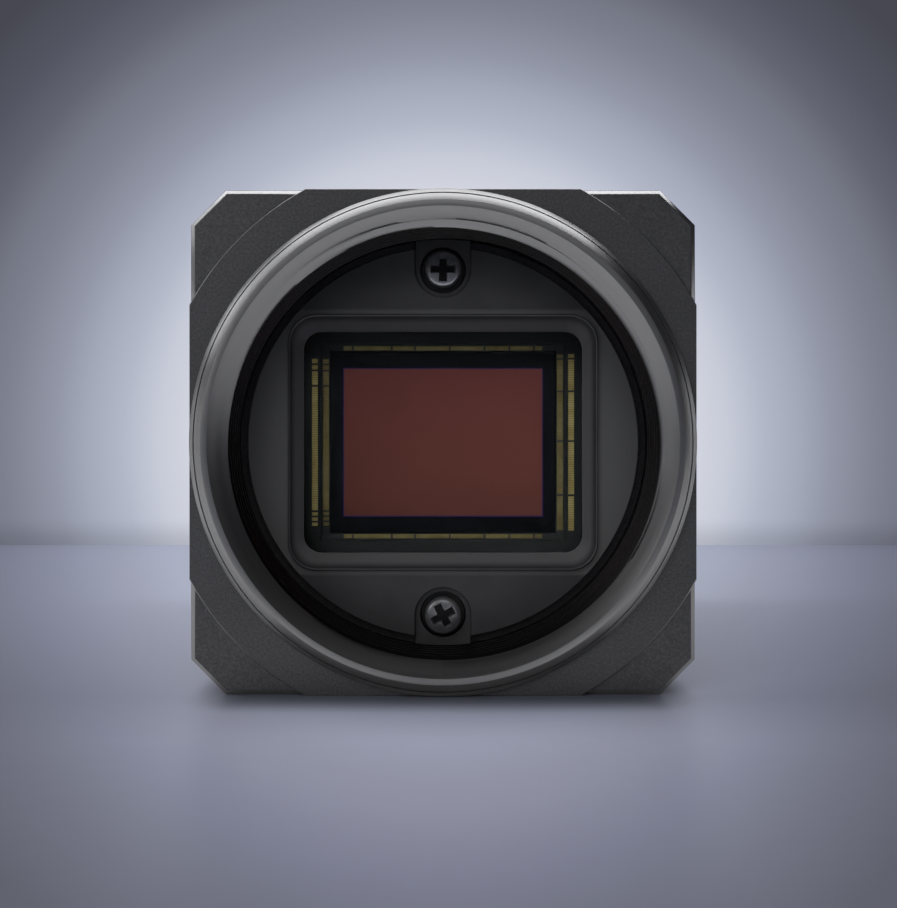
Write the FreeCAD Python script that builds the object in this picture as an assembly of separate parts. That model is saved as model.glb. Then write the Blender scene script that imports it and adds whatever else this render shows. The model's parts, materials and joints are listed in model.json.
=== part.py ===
import FreeCAD, Part
import math
import os

# Machine vision camera with a 1 inch, 32 threads per inch lens mount and a network jack.
# The pieces are modelled about the centre of the lens flange: X to the right, Y the depth
# behind the flange, Z up. They are written about the middle of the base, with the same axes.
# All sizes are in millimetres.

# Lens mount, which sets the width of the body
thread_diameter = 25.4
thread_pitch = 25.4 / 32
flange_to_sensor = 17.526    # in air, flange face to pixel plane
ring_stand = 1.0             # flange face in front of the boss face
ring_depth = 4.9             # flange face to the back of the ring
spigot_wall = 0.9            # the part that screws into the front housing, outside the thread
lead_in_depth = 1.03         # where the thread starts
mouth_edge_depth = 0.42
mouth_edge_gap = 0.1         # edge between the two cones of the mouth, outside the thread
mouth_slope_width = 0.55     # front cone of the mouth
land_width = 0.35            # narrow flat that the lens shoulder meets
bevel_width = 0.44           # bright outer bevel
bevel_depth = 0.38
lip_width = 0.31             # flatter slope outside the bevel
lip_depth = 0.25

# Body section
ring_to_side = 0.05          # flats of the body outside the mount ring
corner_leg = 2.0             # 45 degree cut along the four long edges
wall = 1.3                   # side walls of the front housing and the main housing
edge_bevel = 0.27            # broken outer edges of the housings and the cover

# Body lengths along the optical axis
joint_margin = 0.104         # joint of the housings behind the face of the sensor board
housing_length = 21.5        # main housing, joint to joint
cover_thickness = 2.5
lip_length = 1.0             # locating lips at both joints
lip_thickness = 0.6
lip_fit = 0.05

# Front face
boss_border = 2.05           # turned boss outside the ring, cut off by the sides of the body
corner_step = 0.2            # the four corners lie this far behind the boss

# Chamber and mask plate
chamber_gap = 0.45           # wall of the chamber outside the thread
mask_gap = 0.75              # wall of the chamber to the edge of the disc
mask_depth = 8.8             # flange face to the front of the mask plate
mask_thickness = 1.9
ear_width = 3.56             # flat-bottomed slots for the screws, open to the rim
ear_gap = 0.15               # the ears run out past the disc, nearly to the chamber wall
ear_recess = 0.6
mask_screw_inset = 1.4       # in from the edge of the disc
rim_border_x = 0.875         # raised frame round the window, edge of the window to its outside
rim_border_z = 1.02
rim_corner = 1.8
rim_rise = 0.4
rim_land = 0.12              # flat top of the frame, outside the slope
window_corner = 1.15
slope_depth = 1.1            # from the top of the frame to the window's straight edge
web_thickness = 1.8          # partition that carries the mask plate

# Optical filter and dust seal
filter_overlap_x = 0.525     # edge of the filter outside the window
filter_overlap_z = 0.57
filter_corner = 1.2
filter_thickness = 1.0
seal_overlap = 0.15          # how far the seal covers the edge of the filter
seal_wall = 0.85
seal_step = 0.5              # the back half of the seal is wider by this all round
seal_inset_x = 0.15          # in from the edges of the sensor's cover glass
seal_inset_z = 0.25
seal_front_length = 2.2

# Image sensor, each part inside the last
package_side_gap = 2.2       # inner wall to the package, left and right
package_post_gap = 0.4       # posts of the board screws to the package, above and below
package_thickness = 2.2
cover_glass_inset_x = 0.2
cover_glass_inset_z = 0.4
cover_glass_thickness = 0.6
cover_glass_gap = 0.83       # back of the cover glass to the pixel plane
package_wall_x = 1.05        # rim of the package
package_wall_z = 1.55
cavity_corner = 0.6
upper_tier_x = 1.4           # widths of the two tiers
upper_tier_z = 1.05
upper_tier_depth = 0.3       # below the package rim
lower_tier_x = 0.6
lower_tier_z = 0.5
lower_tier_drop = 0.35       # below the upper tier
die_gap = 0.1                # die edge to the wall of its pocket
die_thickness = 0.5
die_border_x = 0.8           # edge of the die to the pixels
die_border_z = 1.05
pixels_thickness = 0.02
finger_thickness = 0.03
finger_width = 0.4           # plated fingers left and right
outer_column_gap = 0.42      # middle of a column, outside the edge of the lower tier
inner_column_gap = 0.33      # and inside it
row_finger_width = 0.28      # plated fingers above and below
row_finger_gap = 0.3         # middle of a row, inside the edge of the lower tier
finger_gap = 0.14
# Lengths of the fingers along each strip, as shares of the die's side
left_fingers = (0.024, 0.024, 0.075, 0.686, 0.0175, 0.0175, 0.0175)
right_fingers = (0.02, 0.17, 0.266, 0.29, 0.19)
row_fingers = (0.035, 0.166, 0.0955, 0.1465, 0.1465, 0.102, 0.102, 0.032)

# Circuit boards
board_clearance = 0.3        # board edge to housing wall
sensor_board_thickness = 1.0
board_thickness = 1.2
sensor_link_height = 3.1     # sensor board to main board
board_link_height = 2.6      # main board to interface board
sensor_link_width = 3.4
sensor_link_length = 13.0
sensor_link_inset = 3.6      # middle of the connector, in from the inner wall
board_link_width = 6.4
board_link_length = 3.0
board_link_inset = 2.1
stack_screw_x = 5.5
stack_screw_inset = 1.8      # in from the inner face of the top and bottom walls
stack_post_radius = 1.5
processor_size = 13.0
processor_height = 1.4
memory_width = 11.0
memory_length = 6.5
memory_height = 1.0
memory_z = 4.4
network_chip_size = 5.0
network_chip_height = 0.9
network_chip_inset_x = 4.9   # middle of the chip, in from the inner walls
network_chip_inset_z = 6.2

# Screws
thread_fit = 0.02            # radial gap between a screw and its tapped hole
clearance_fit = 0.1          # radial gap between a screw and a plain hole
mask_screw_thread = 0.7      # radius
mask_screw_head = 1.17
mask_screw_head_height = 0.75
mask_screw_length = 2.8
mask_screw_turn = 28.0       # degrees, the lower screw stopped at this angle
small_screw_thread = 0.8
small_screw_head = 1.4
small_screw_head_height = 0.9
board_screw_grip = 3.0       # thread in the posts of the front housing
hole_end_gap = 0.5           # tapped holes run past the ends of their screws
tie_screw_thread = 1.0
tie_screw_head = 1.85
tie_screw_inset = 2.6        # in from the sides of the body, in X and in Z
tie_post_radius = 1.9
tie_screw_grip = 4.0         # thread in the front housing
tie_screw_turn = 15.0        # degrees, how the cross recesses stand
head_chamfer = 0.22
recess_depth = 0.4           # cross recesses
recess_width = 0.45
recess_share = 0.6           # arm tip from the screw's axis, as a share of the head radius

# Mounting holes for brackets, two on each side of the front housing
bracket_hole_radius = 1.25   # tapping size for a 3 mm thread
bracket_hole_depth = 3.2
bracket_hole_spacing = 18.0
bracket_hole_y = 8.0         # behind the flange face

# Network jack, with its socket towards the back
jack_width = 15.9
jack_top_gap = 2.15          # inner wall to the jack
jack_to_nut = 0.85           # jack to the nut of the round connector below it
jack_proud = 0.2             # jack face behind the cover face
shield_sheet = 0.25
jack_opening_gap = 0.15
socket_width = 11.7
socket_height = 6.7
socket_rise = 1.2            # middle of the socket above the middle of the jack
socket_depth = 12.4
latch_slot_width = 6.2
latch_slot_height = 1.6
latch_groove_width = 3.2
latch_groove_height = 1.3
contact_count = 8
contact_pitch = 1.02
contact_width = 0.4
contact_thickness = 0.25
contact_inset = 1.6          # behind the mouth of the socket
contact_foot = 1.2           # straight part against the ceiling of the socket
contact_drop = 1.9           # how far the free end springs into the socket
contact_reach = 7.5          # length of the sloping part, along the socket
lock_hole_spacing = 22.0
lock_hole_radius = 0.8       # tapping size for a 2 mm thread

# Power and trigger connector
io_barrel_radius = 4.3
io_barrel_wall = 0.8
io_flange_width = 0.55
io_flange_thickness = 1.0
io_barrel_length = 4.5       # behind the cover face
io_socket_depth = 4.2
io_nut_wall = 0.5
io_nut_thickness = 1.6
io_nut_gap = 0.5             # nut to the inner wall
io_key_width = 1.0
io_key_height = 0.5
pin_count = 6
pin_radius = 0.4
pin_circle = 2.0
pin_length = 3.2             # in the open socket
board_pillar_radius = 1.5
board_pillar_inset = 2.0     # in from the inner wall
board_pillar_z = -1.0
board_pillar_thread = 3.2    # length of the screws in the pillars

# Status light
light_inset = 4.5            # in from the inner wall
light_guide_radius = 0.8
light_guide_proud = 0.1
light_collar_radius = 1.2    # seats behind the rear cover
light_collar_length = 0.8
light_guide_gap = 0.2        # lamp to guide
led_width = 1.6
led_height = 0.8
led_thickness = 0.6

# Radii of the mount, and the body round it
thread_radius = thread_diameter / 2
thread_minor_radius = (thread_diameter - 1.0825 * thread_pitch) / 2
mouth_edge_radius = thread_radius + mouth_edge_gap
land_inner_radius = mouth_edge_radius + mouth_slope_width
land_outer_radius = land_inner_radius + land_width
bevel_outer_radius = land_outer_radius + bevel_width
ring_radius = bevel_outer_radius + lip_width
ring_spigot_radius = thread_radius + spigot_wall
body_half = ring_radius + ring_to_side
body_width = 2 * body_half
boss_radius = ring_radius + boss_border
chamber_radius = thread_radius + chamber_gap
mask_radius = chamber_radius - mask_gap
ear_reach = chamber_radius - ear_gap
mask_screw_radius = mask_radius - mask_screw_inset

# Places inside the body
outer_reach = (body_width - corner_leg) / math.sqrt(2)
inner_half = body_half - wall
tie_screw_position = body_half - tie_screw_inset
inner_reach = tie_screw_position * math.sqrt(2) - tie_post_radius
board_half = inner_half - board_clearance
board_reach = inner_reach - board_clearance
stack_screw_z = inner_half - stack_screw_inset
board_pillar_x = inner_half - board_pillar_inset
board_link_z = inner_half - board_link_inset
sensor_link_x = inner_half - sensor_link_inset
network_chip_x = inner_half - network_chip_inset_x
network_chip_z = network_chip_inset_z - inner_half

# Widths and heights from the sensor package inwards, then forwards to the mask's frame
package_width = 2 * (inner_half - package_side_gap)
package_height = 2 * (stack_screw_z - stack_post_radius - package_post_gap)
cover_glass_width = package_width - 2 * cover_glass_inset_x
cover_glass_height = package_height - 2 * cover_glass_inset_z
cavity_width = package_width - 2 * package_wall_x
cavity_height = package_height - 2 * package_wall_z
lower_tier_width = cavity_width - 2 * upper_tier_x
lower_tier_height = cavity_height - 2 * upper_tier_z
die_width = lower_tier_width - 2 * (lower_tier_x + die_gap)
die_height = lower_tier_height - 2 * (lower_tier_z + die_gap)
pixels_width = die_width - 2 * die_border_x
pixels_height = die_height - 2 * die_border_z
seal_width = cover_glass_width - 2 * (seal_inset_x + seal_step)
seal_height = cover_glass_height - 2 * (seal_inset_z + seal_step)
seal_corner = filter_corner + seal_wall
filter_width = seal_width - 2 * (seal_wall - seal_overlap)
filter_height = seal_height - 2 * (seal_wall - seal_overlap)
window_width = filter_width - 2 * filter_overlap_x
window_height = filter_height - 2 * filter_overlap_z
rim_width = window_width + 2 * rim_border_x
rim_height = window_height + 2 * rim_border_z

# Connectors, from the inner walls at top and bottom
io_nut_size = 2 * (io_barrel_radius + io_nut_wall)
io_bore_radius = io_barrel_radius - io_barrel_wall
io_flange_radius = io_barrel_radius + io_flange_width
io_z = io_nut_gap + io_nut_size / 2 - inner_half
jack_height = 2 * inner_half - jack_top_gap - jack_to_nut - io_nut_size - io_nut_gap
jack_z = inner_half - jack_top_gap - jack_height / 2
light_x = light_inset - inner_half
light_z = io_z

# Levels along Y that several pieces share
boss_y = ring_stand
corner_y = boss_y + corner_step
web_y = mask_depth + mask_thickness
web_back = web_y + web_thickness
ear_y = mask_depth + ear_recess
glass_y = web_y - filter_thickness
package_rim_y = flange_to_sensor - cover_glass_gap
upper_tier_y = package_rim_y + upper_tier_depth
lower_tier_y = upper_tier_y + lower_tier_drop
die_y = flange_to_sensor + pixels_thickness
sensor_board_y = package_rim_y + package_thickness
sensor_board_back = sensor_board_y + sensor_board_thickness
main_board_y = sensor_board_back + sensor_link_height
main_board_back = main_board_y + board_thickness
interface_board_y = main_board_back + board_link_height
interface_board_back = interface_board_y + board_thickness
joint_y = sensor_board_y + joint_margin
cover_y = joint_y + housing_length
back_y = cover_y + cover_thickness
tie_screw_end = joint_y - tie_screw_grip
jack_back = back_y + jack_proud
rear_end = back_y + io_barrel_length

over = 1.0                   # how far a cutter runs past what it cuts
depth_axis = FreeCAD.Vector(0, 1, 0)
row_origin = FreeCAD.Vector(0, -rear_end / 2, body_half)


def point(x, y, z):
    return FreeCAD.Vector(x, y, z)


def cylinder(radius, start, end, x=0.0, z=0.0):
    """Round bar along Y."""
    return Part.makeCylinder(radius, end - start, point(x, start, z), depth_axis)


def block(width, height, start, end, x=0.0, z=0.0):
    """Rectangular bar along Y, centred on x and z."""
    return Part.makeBox(width, end - start, height, point(x - width / 2, start, z - height / 2))


def rounded_wire(width, height, corner, y, x=0.0, z=0.0):
    """Rectangle with round corners, in a plane of constant Y."""
    half_w = width / 2
    half_h = height / 2
    bend = corner * (1 - math.sqrt(0.5))
    edges = []
    last = None
    first = None
    for sx, sz in ((1, 1), (-1, 1), (-1, -1), (1, -1)):
        side = point(x + sx * half_w, y, z + sz * (half_h - corner))
        top = point(x + sx * (half_w - corner), y, z + sz * half_h)
        middle = point(x + sx * (half_w - bend), y, z + sz * (half_h - bend))
        start, end = (side, top) if sx * sz > 0 else (top, side)
        if last is not None:
            edges.append(Part.LineSegment(last, start).toShape())
        else:
            first = start
        edges.append(Part.Arc(start, middle, end).toShape())
        last = end
    edges.append(Part.LineSegment(last, first).toShape())
    return Part.Wire(edges)


def rounded_block(width, height, corner, start, end, x=0.0, z=0.0):
    face = Part.Face(rounded_wire(width, height, corner, start, x, z))
    return face.extrude(point(0, end - start, 0))


def cut_square_wire(half, reach, y):
    """Square whose corners are cut at 45 degrees, the cuts lying at reach from the axis."""
    inset = math.sqrt(2) * reach - half
    ring = ((half, inset), (inset, half), (-inset, half), (-half, inset),
            (-half, -inset), (-inset, -half), (inset, -half), (half, -inset))
    corners = [point(x, y, z) for x, z in ring]
    return Part.makePolygon(corners + corners[:1])


def cut_square_block(half, reach, start, end):
    return Part.Face(cut_square_wire(half, reach, start)).extrude(point(0, end - start, 0))


def bevelled_body(start, end):
    """Outer form of the body between two depths, with the edges of both ends broken."""
    small_half = body_half - edge_bevel
    small_reach = outer_reach - edge_bevel
    low = start + edge_bevel
    high = end - edge_bevel
    front = Part.makeLoft([cut_square_wire(small_half, small_reach, start),
                           cut_square_wire(body_half, outer_reach, low)], True, True)
    back = Part.makeLoft([cut_square_wire(body_half, outer_reach, high),
                          cut_square_wire(small_half, small_reach, end)], True, True)
    return cut_square_block(body_half, outer_reach, low, high).fuse([front, back]).removeSplitter()


def hexagon_block(across, start, end, x, z):
    """Hexagonal bar along Y, with flats above and below."""
    radius = across / math.sqrt(3)
    corners = []
    for step in range(6):
        angle = math.radians(60 * step)
        corners.append(point(x + radius * math.cos(angle), start, z + radius * math.sin(angle)))
    return Part.Face(Part.makePolygon(corners + corners[:1])).extrude(point(0, end - start, 0))


def four_corners(x, z):
    return [(sx * x, sz * z) for sx in (1, -1) for sz in (1, -1)]


def turned(profile):
    """Solid of revolution about the optical axis, from (radius, depth) points."""
    corners = [point(radius, depth, 0) for radius, depth in profile]
    face = Part.Face(Part.makePolygon(corners + corners[:1]))
    return face.revolve(point(0, 0, 0), depth_axis, 360)


def cross_recess(head_radius, face_y, into, turn):
    """Cross-shaped cutter for a screw head whose face is at face_y; into is +1 or -1 along Y."""
    span = 2 * recess_share * head_radius
    end = face_y + into * recess_depth
    low = min(face_y - into * recess_depth, end)
    high = max(face_y - into * recess_depth, end)
    arms = block(span, recess_width, low, high).fuse(block(recess_width, span, low, high))
    arms.rotate(point(0, 0, 0), depth_axis, turn)
    return arms


# ---- Pieces ----

def lens_mount_ring():
    profile = [
        (land_inner_radius, 0),
        (land_outer_radius, 0),
        (bevel_outer_radius, bevel_depth),
        (ring_radius, bevel_depth + lip_depth),
        (ring_radius, ring_stand),
        (ring_spigot_radius, ring_stand),
        (ring_spigot_radius, ring_depth),
        (thread_minor_radius, ring_depth),
        (thread_minor_radius, lead_in_depth),
        (mouth_edge_radius, mouth_edge_depth),
    ]
    return turned(profile)


def front_housing():
    body = bevelled_body(corner_y, joint_y)
    boss = cut_square_block(body_half, outer_reach, boss_y, corner_y + 2 * edge_bevel)
    body = body.fuse(boss.common(cylinder(boss_radius, boss_y, joint_y)))
    # Locating lip for the main housing
    lip_half = inner_half + lip_thickness - lip_fit
    lip_reach = inner_reach + lip_thickness - lip_fit
    body = body.fuse(cut_square_block(lip_half, lip_reach, joint_y - wall, joint_y + lip_length))
    # Bore for the mount ring, then the chamber down to the partition
    body = body.cut(cylinder(ring_spigot_radius + thread_fit, boss_y - over,
                             ring_depth + clearance_fit))
    body = body.cut(cylinder(chamber_radius, boss_y, web_y))
    # Space behind the partition, with the posts for the board screws
    space = cut_square_block(inner_half, inner_reach, web_back, joint_y + lip_length + over)
    for x, z in four_corners(stack_screw_x, stack_screw_z):
        post = cylinder(stack_post_radius, web_back, sensor_board_y, x, z)
        foot_height = body_half - stack_screw_z
        foot_z = math.copysign(stack_screw_z + foot_height / 2, z)
        foot = block(2 * stack_post_radius, foot_height, web_back, sensor_board_y, x, foot_z)
        space = space.cut(post.fuse(foot))
    body = body.cut(space)
    # Window that the dust seal passes through
    body = body.cut(rounded_block(seal_width + 2 * clearance_fit, seal_height + 2 * clearance_fit,
                                  seal_corner + clearance_fit, web_y - over, web_back + over))
    # Tapped holes for the mask plate, the boards, the tie screws and the brackets
    for side in (1, -1):
        body = body.cut(cylinder(mask_screw_thread + thread_fit, web_y - over, web_back + over,
                                 0, side * mask_screw_radius))
    for x, z in four_corners(stack_screw_x, stack_screw_z):
        body = body.cut(cylinder(small_screw_thread + thread_fit,
                                 sensor_board_y - board_screw_grip - hole_end_gap,
                                 sensor_board_y + over, x, z))
    for x, z in four_corners(tie_screw_position, tie_screw_position):
        body = body.cut(cylinder(tie_screw_thread + thread_fit,
                                 tie_screw_end - hole_end_gap,
                                 joint_y + lip_length + over, x, z))
    for quarter in range(4):
        for side in (1, -1):
            mouth = point(side * bracket_hole_spacing / 2, bracket_hole_y, -body_half - over)
            hole = Part.makeCylinder(bracket_hole_radius, bracket_hole_depth + over, mouth,
                                     point(0, 0, 1))
            hole.rotate(point(0, 0, 0), depth_axis, 90 * quarter)
            body = body.cut(hole)
    return body


def mask_plate():
    disc = cylinder(mask_radius, mask_depth, web_y)
    rim = rounded_block(rim_width, rim_height, rim_corner, mask_depth - rim_rise, web_y)
    plate = disc.fuse(rim)
    for side in (1, -1):
        ear = block(ear_width, ear_reach, mask_depth, web_y, 0, side * ear_reach / 2)
        ear = ear.common(cylinder(ear_reach, mask_depth, web_y))
        plate = plate.fuse(ear)
    # Slope from the top of the raised frame down to the window
    rim_inner = rim_corner - rim_land
    slope_start = mask_depth - rim_rise
    slope_end = slope_start + slope_depth
    slope = Part.makeLoft([rounded_wire(rim_width - 2 * rim_land, rim_height - 2 * rim_land,
                                        rim_inner, slope_start),
                           rounded_wire(window_width, window_height, window_corner, slope_end)],
                          True, True)
    plate = plate.cut(slope)
    plate = plate.cut(rounded_block(window_width, window_height, window_corner,
                                    slope_end, web_y + over))
    # Pocket for the filter, from behind
    plate = plate.cut(rounded_block(filter_width + 2 * clearance_fit,
                                    filter_height + 2 * clearance_fit,
                                    filter_corner + clearance_fit, glass_y, web_y + over))
    # Slots that the screw heads stand in, with round inner ends
    for side in (1, -1):
        slot_end = cylinder(ear_width / 2, mask_depth - over, ear_y, 0, side * mask_screw_radius)
        slot_length = ear_reach + over - mask_screw_radius
        slot_z = side * (mask_screw_radius + slot_length / 2)
        slot = slot_end.fuse(block(ear_width, slot_length, mask_depth - over, ear_y, 0, slot_z))
        plate = plate.cut(slot)
        plate = plate.cut(cylinder(mask_screw_thread + clearance_fit, ear_y - over, web_y + over,
                                   0, side * mask_screw_radius))
    return plate


def plain_screw(head_radius, head_height, thread_radius, seat_y, length, into, x, z):
    """Screw under a round head; into is +1 where it is driven towards +Y and -1 towards -Y."""
    head = cylinder(head_radius, min(seat_y, seat_y - into * head_height),
                    max(seat_y, seat_y - into * head_height), x, z)
    return head.fuse(cylinder(thread_radius, min(seat_y, seat_y + into * length),
                              max(seat_y, seat_y + into * length), x, z))


def mask_screws():
    face_y = ear_y - mask_screw_head_height
    profile = [(0, face_y), (mask_screw_head - head_chamfer, face_y),
               (mask_screw_head, face_y + head_chamfer), (mask_screw_head, ear_y),
               (mask_screw_thread, ear_y), (mask_screw_thread, ear_y + mask_screw_length),
               (0, ear_y + mask_screw_length)]
    screws = []
    for side, turn in ((1, 0.0), (-1, mask_screw_turn)):
        screw = turned(profile).cut(cross_recess(mask_screw_head, face_y, 1, turn))
        screws.append(screw.translated(point(0, 0, side * mask_screw_radius)))
    return Part.makeCompound(screws)


def filter_glass():
    return rounded_block(filter_width, filter_height, filter_corner, glass_y,
                         glass_y + filter_thickness)


def dust_seal():
    """Stepped rubber sleeve from the back of the filter to the sensor's cover glass."""
    middle = web_y + seal_front_length
    end = package_rim_y - cover_glass_thickness
    wide = 2 * seal_step
    thin = 2 * seal_wall
    bore_corner = seal_corner - seal_wall
    front = rounded_block(seal_width, seal_height, seal_corner, web_y, middle)
    back = rounded_block(seal_width + wide, seal_height + wide, seal_corner + seal_step,
                         middle, end)
    front_bore = rounded_block(seal_width - thin, seal_height - thin, bore_corner,
                               web_y - over, middle)
    back_bore = rounded_block(seal_width + wide - thin, seal_height + wide - thin,
                              bore_corner + seal_step, middle, end + over)
    return front.fuse(back).cut(front_bore).cut(back_bore)


def sensor_package():
    body = rounded_block(package_width, package_height, cavity_corner, package_rim_y,
                         sensor_board_y)
    body = body.cut(rounded_block(cavity_width, cavity_height, cavity_corner,
                                  package_rim_y - over, upper_tier_y))
    body = body.cut(block(lower_tier_width, lower_tier_height, package_rim_y, lower_tier_y))
    return body.cut(block(die_width + 2 * die_gap, die_height + 2 * die_gap,
                          package_rim_y, die_y + die_thickness))


def sensor_cover_glass():
    return rounded_block(cover_glass_width, cover_glass_height, cavity_corner,
                         package_rim_y - cover_glass_thickness, package_rim_y)


def sensor_die():
    return block(die_width, die_height, die_y, die_y + die_thickness)


def pixel_array():
    return block(pixels_width, pixels_height, flange_to_sensor, die_y)


def finger_strip(shares, side):
    """Centre and length of each finger along a strip beside a side of the die."""
    lengths = [share * side for share in shares]
    start = -(sum(lengths) + finger_gap * (len(lengths) - 1)) / 2
    places = []
    for length in lengths:
        places.append((start + length / 2, length))
        start += length + finger_gap
    return places


def bond_fingers():
    columns = ((lower_tier_width / 2 + outer_column_gap, upper_tier_y),
               (lower_tier_width / 2 - inner_column_gap, lower_tier_y))
    row_z = lower_tier_height / 2 - row_finger_gap
    fingers = []
    for side, shares in ((-1, left_fingers), (1, right_fingers)):
        for centre, length in finger_strip(shares, die_height):
            for x, level in columns:
                fingers.append(block(finger_width, length, level - finger_thickness, level,
                                     side * x, -centre))
    for side in (1, -1):
        for centre, length in finger_strip(row_fingers, die_width):
            fingers.append(block(length, row_finger_width, lower_tier_y - finger_thickness,
                                 lower_tier_y, centre, side * row_z))
    return Part.makeCompound(fingers)


def board(start, thickness, holes):
    """Circuit board that fills the housing, with round holes at (x, z, radius)."""
    plate = cut_square_block(board_half, board_reach, start, start + thickness)
    for x, z, radius in holes:
        plate = plate.cut(cylinder(radius, start - over, start + thickness + over, x, z))
    return plate


stack_holes = [(x, z, small_screw_thread + clearance_fit)
               for x, z in four_corners(stack_screw_x, stack_screw_z)]
pillar_holes = [(side * board_pillar_x, board_pillar_z, small_screw_thread + clearance_fit)
                for side in (1, -1)]
pin_places = [(pin_circle * math.sin(2 * math.pi * (step + 0.5) / pin_count),
               io_z + pin_circle * math.cos(2 * math.pi * (step + 0.5) / pin_count))
              for step in range(pin_count)]


def sensor_board():
    return board(sensor_board_y, sensor_board_thickness, stack_holes)


def main_board():
    return board(main_board_y, board_thickness, stack_holes)


def interface_board():
    return board(interface_board_y, board_thickness, pillar_holes)


def board_spacers():
    tubes = []
    for x, z in four_corners(stack_screw_x, stack_screw_z):
        tube = hexagon_block(2 * stack_post_radius, sensor_board_back, main_board_y, x, z)
        tubes.append(tube.cut(cylinder(small_screw_thread + clearance_fit,
                                       sensor_board_back - over, main_board_y + over, x, z)))
    return Part.makeCompound(tubes)


def board_screws():
    reach = main_board_back - sensor_board_y + board_screw_grip
    screws = [plain_screw(small_screw_head, small_screw_head_height, small_screw_thread,
                          main_board_back, reach, -1, x, z)
              for x, z in four_corners(stack_screw_x, stack_screw_z)]
    return Part.makeCompound(screws)


def sensor_link_connectors():
    return Part.makeCompound([block(sensor_link_width, sensor_link_length, sensor_board_back,
                                    main_board_y, side * sensor_link_x, 0)
                              for side in (1, -1)])


def board_link_connectors():
    return Part.makeCompound([block(board_link_width, board_link_length, main_board_back,
                                    interface_board_y, 0, side * board_link_z)
                              for side in (1, -1)])


def processor_chip():
    return block(processor_size, processor_size, main_board_back,
                 main_board_back + processor_height)


def memory_chips():
    return Part.makeCompound([block(memory_width, memory_length, main_board_y - memory_height,
                                    main_board_y, 0, side * memory_z)
                              for side in (1, -1)])


def network_chip():
    return block(network_chip_size, network_chip_size, interface_board_back,
                 interface_board_back + network_chip_height, network_chip_x, network_chip_z)


def interface_board_screws():
    length = board_thickness + board_pillar_thread
    screws = [plain_screw(small_screw_head, small_screw_head_height, small_screw_thread,
                          interface_board_y, length, 1, side * board_pillar_x, board_pillar_z)
              for side in (1, -1)]
    return Part.makeCompound(screws)


def socket_opening(start, end, grow=0.0):
    """Stepped outline of the socket: the plug's space, the latch slot and the latch groove."""
    socket_z = jack_z + socket_rise
    floor_z = socket_z - socket_height / 2
    opening = block(socket_width + 2 * grow, socket_height + 2 * grow, start, end, 0, socket_z)
    slot_top = floor_z + 1
    slot_bottom = floor_z - latch_slot_height - grow
    opening = opening.fuse(block(latch_slot_width + 2 * grow, slot_top - slot_bottom, start, end,
                                 0, (slot_top + slot_bottom) / 2))
    groove_bottom = floor_z - latch_slot_height - latch_groove_height - grow
    return opening.fuse(block(latch_groove_width + 2 * grow, slot_top - groove_bottom, start, end,
                              0, (slot_top + groove_bottom) / 2))


def jack_shield():
    shell = block(jack_width, jack_height, interface_board_back, jack_back, 0, jack_z)
    inside = block(jack_width - 2 * shield_sheet, jack_height - 2 * shield_sheet,
                   interface_board_back - over, jack_back - shield_sheet, 0, jack_z)
    return shell.cut(inside).cut(socket_opening(jack_back - 2 * shield_sheet, jack_back + over,
                                                clearance_fit))


def jack_body():
    body = block(jack_width - 2 * shield_sheet, jack_height - 2 * shield_sheet,
                 interface_board_back, jack_back - shield_sheet, 0, jack_z)
    return body.cut(socket_opening(jack_back - shield_sheet - socket_depth, jack_back))


def jack_contacts():
    """Spring wires along the socket's ceiling: a straight foot, then a free sloping end."""
    top = jack_z + socket_rise + socket_height / 2
    foot_y = jack_back - shield_sheet - contact_inset
    bend_y = foot_y - contact_foot
    tip_y = bend_y - contact_reach
    tip_z = top - contact_drop
    wires = []
    for number in range(contact_count):
        x = (number - (contact_count - 1) / 2) * contact_pitch - contact_width / 2
        outline = [(foot_y, top), (bend_y, top), (tip_y, tip_z + contact_thickness),
                   (tip_y, tip_z), (bend_y, top - contact_thickness),
                   (foot_y, top - contact_thickness)]
        corners = [point(x, y, z) for y, z in outline]
        face = Part.Face(Part.makePolygon(corners + corners[:1]))
        wires.append(face.extrude(point(contact_width, 0, 0)))
    return Part.makeCompound(wires)


def io_connector_shell():
    inner_end = cover_y - lip_length - io_nut_thickness
    shell = cylinder(io_barrel_radius, inner_end, rear_end, 0, io_z)
    shell = shell.fuse(cylinder(io_flange_radius, back_y, back_y + io_flange_thickness, 0, io_z))
    shell = shell.cut(cylinder(io_bore_radius, inner_end - over, rear_end + over, 0, io_z))
    key_root = (io_bore_radius + io_barrel_radius) / 2
    key_tip = io_bore_radius - io_key_height
    key = block(io_key_width, key_root - key_tip, rear_end - io_socket_depth, rear_end, 0,
                io_z + (key_root + key_tip) / 2)
    return shell.fuse(key)


def io_connector_insert():
    insert = cylinder(io_bore_radius, interface_board_back, rear_end - io_socket_depth, 0, io_z)
    for x, z in pin_places:
        insert = insert.cut(cylinder(pin_radius, interface_board_back - over, rear_end, x, z))
    return insert


def io_connector_pins():
    tip_y = rear_end - io_socket_depth + pin_length
    return Part.makeCompound([cylinder(pin_radius, interface_board_back, tip_y, x, z)
                              for x, z in pin_places])


def io_connector_nut():
    start = cover_y - lip_length - io_nut_thickness
    nut = hexagon_block(io_nut_size, start, start + io_nut_thickness, 0, io_z)
    return nut.cut(cylinder(io_barrel_radius, start - over, start + io_nut_thickness + over,
                            0, io_z))


def main_housing():
    body = bevelled_body(joint_y, cover_y)
    body = body.cut(cut_square_block(inner_half, inner_reach, joint_y - over, cover_y + over))
    # Rebate for the lip of the front housing
    body = body.cut(cut_square_block(inner_half + lip_thickness, inner_reach + lip_thickness,
                                     joint_y - over, joint_y + lip_length + lip_fit))
    for x, z in four_corners(tie_screw_position, tie_screw_position):
        body = body.cut(cylinder(tie_screw_thread + clearance_fit, joint_y - over,
                                 cover_y + over, x, z))
    return body


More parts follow.
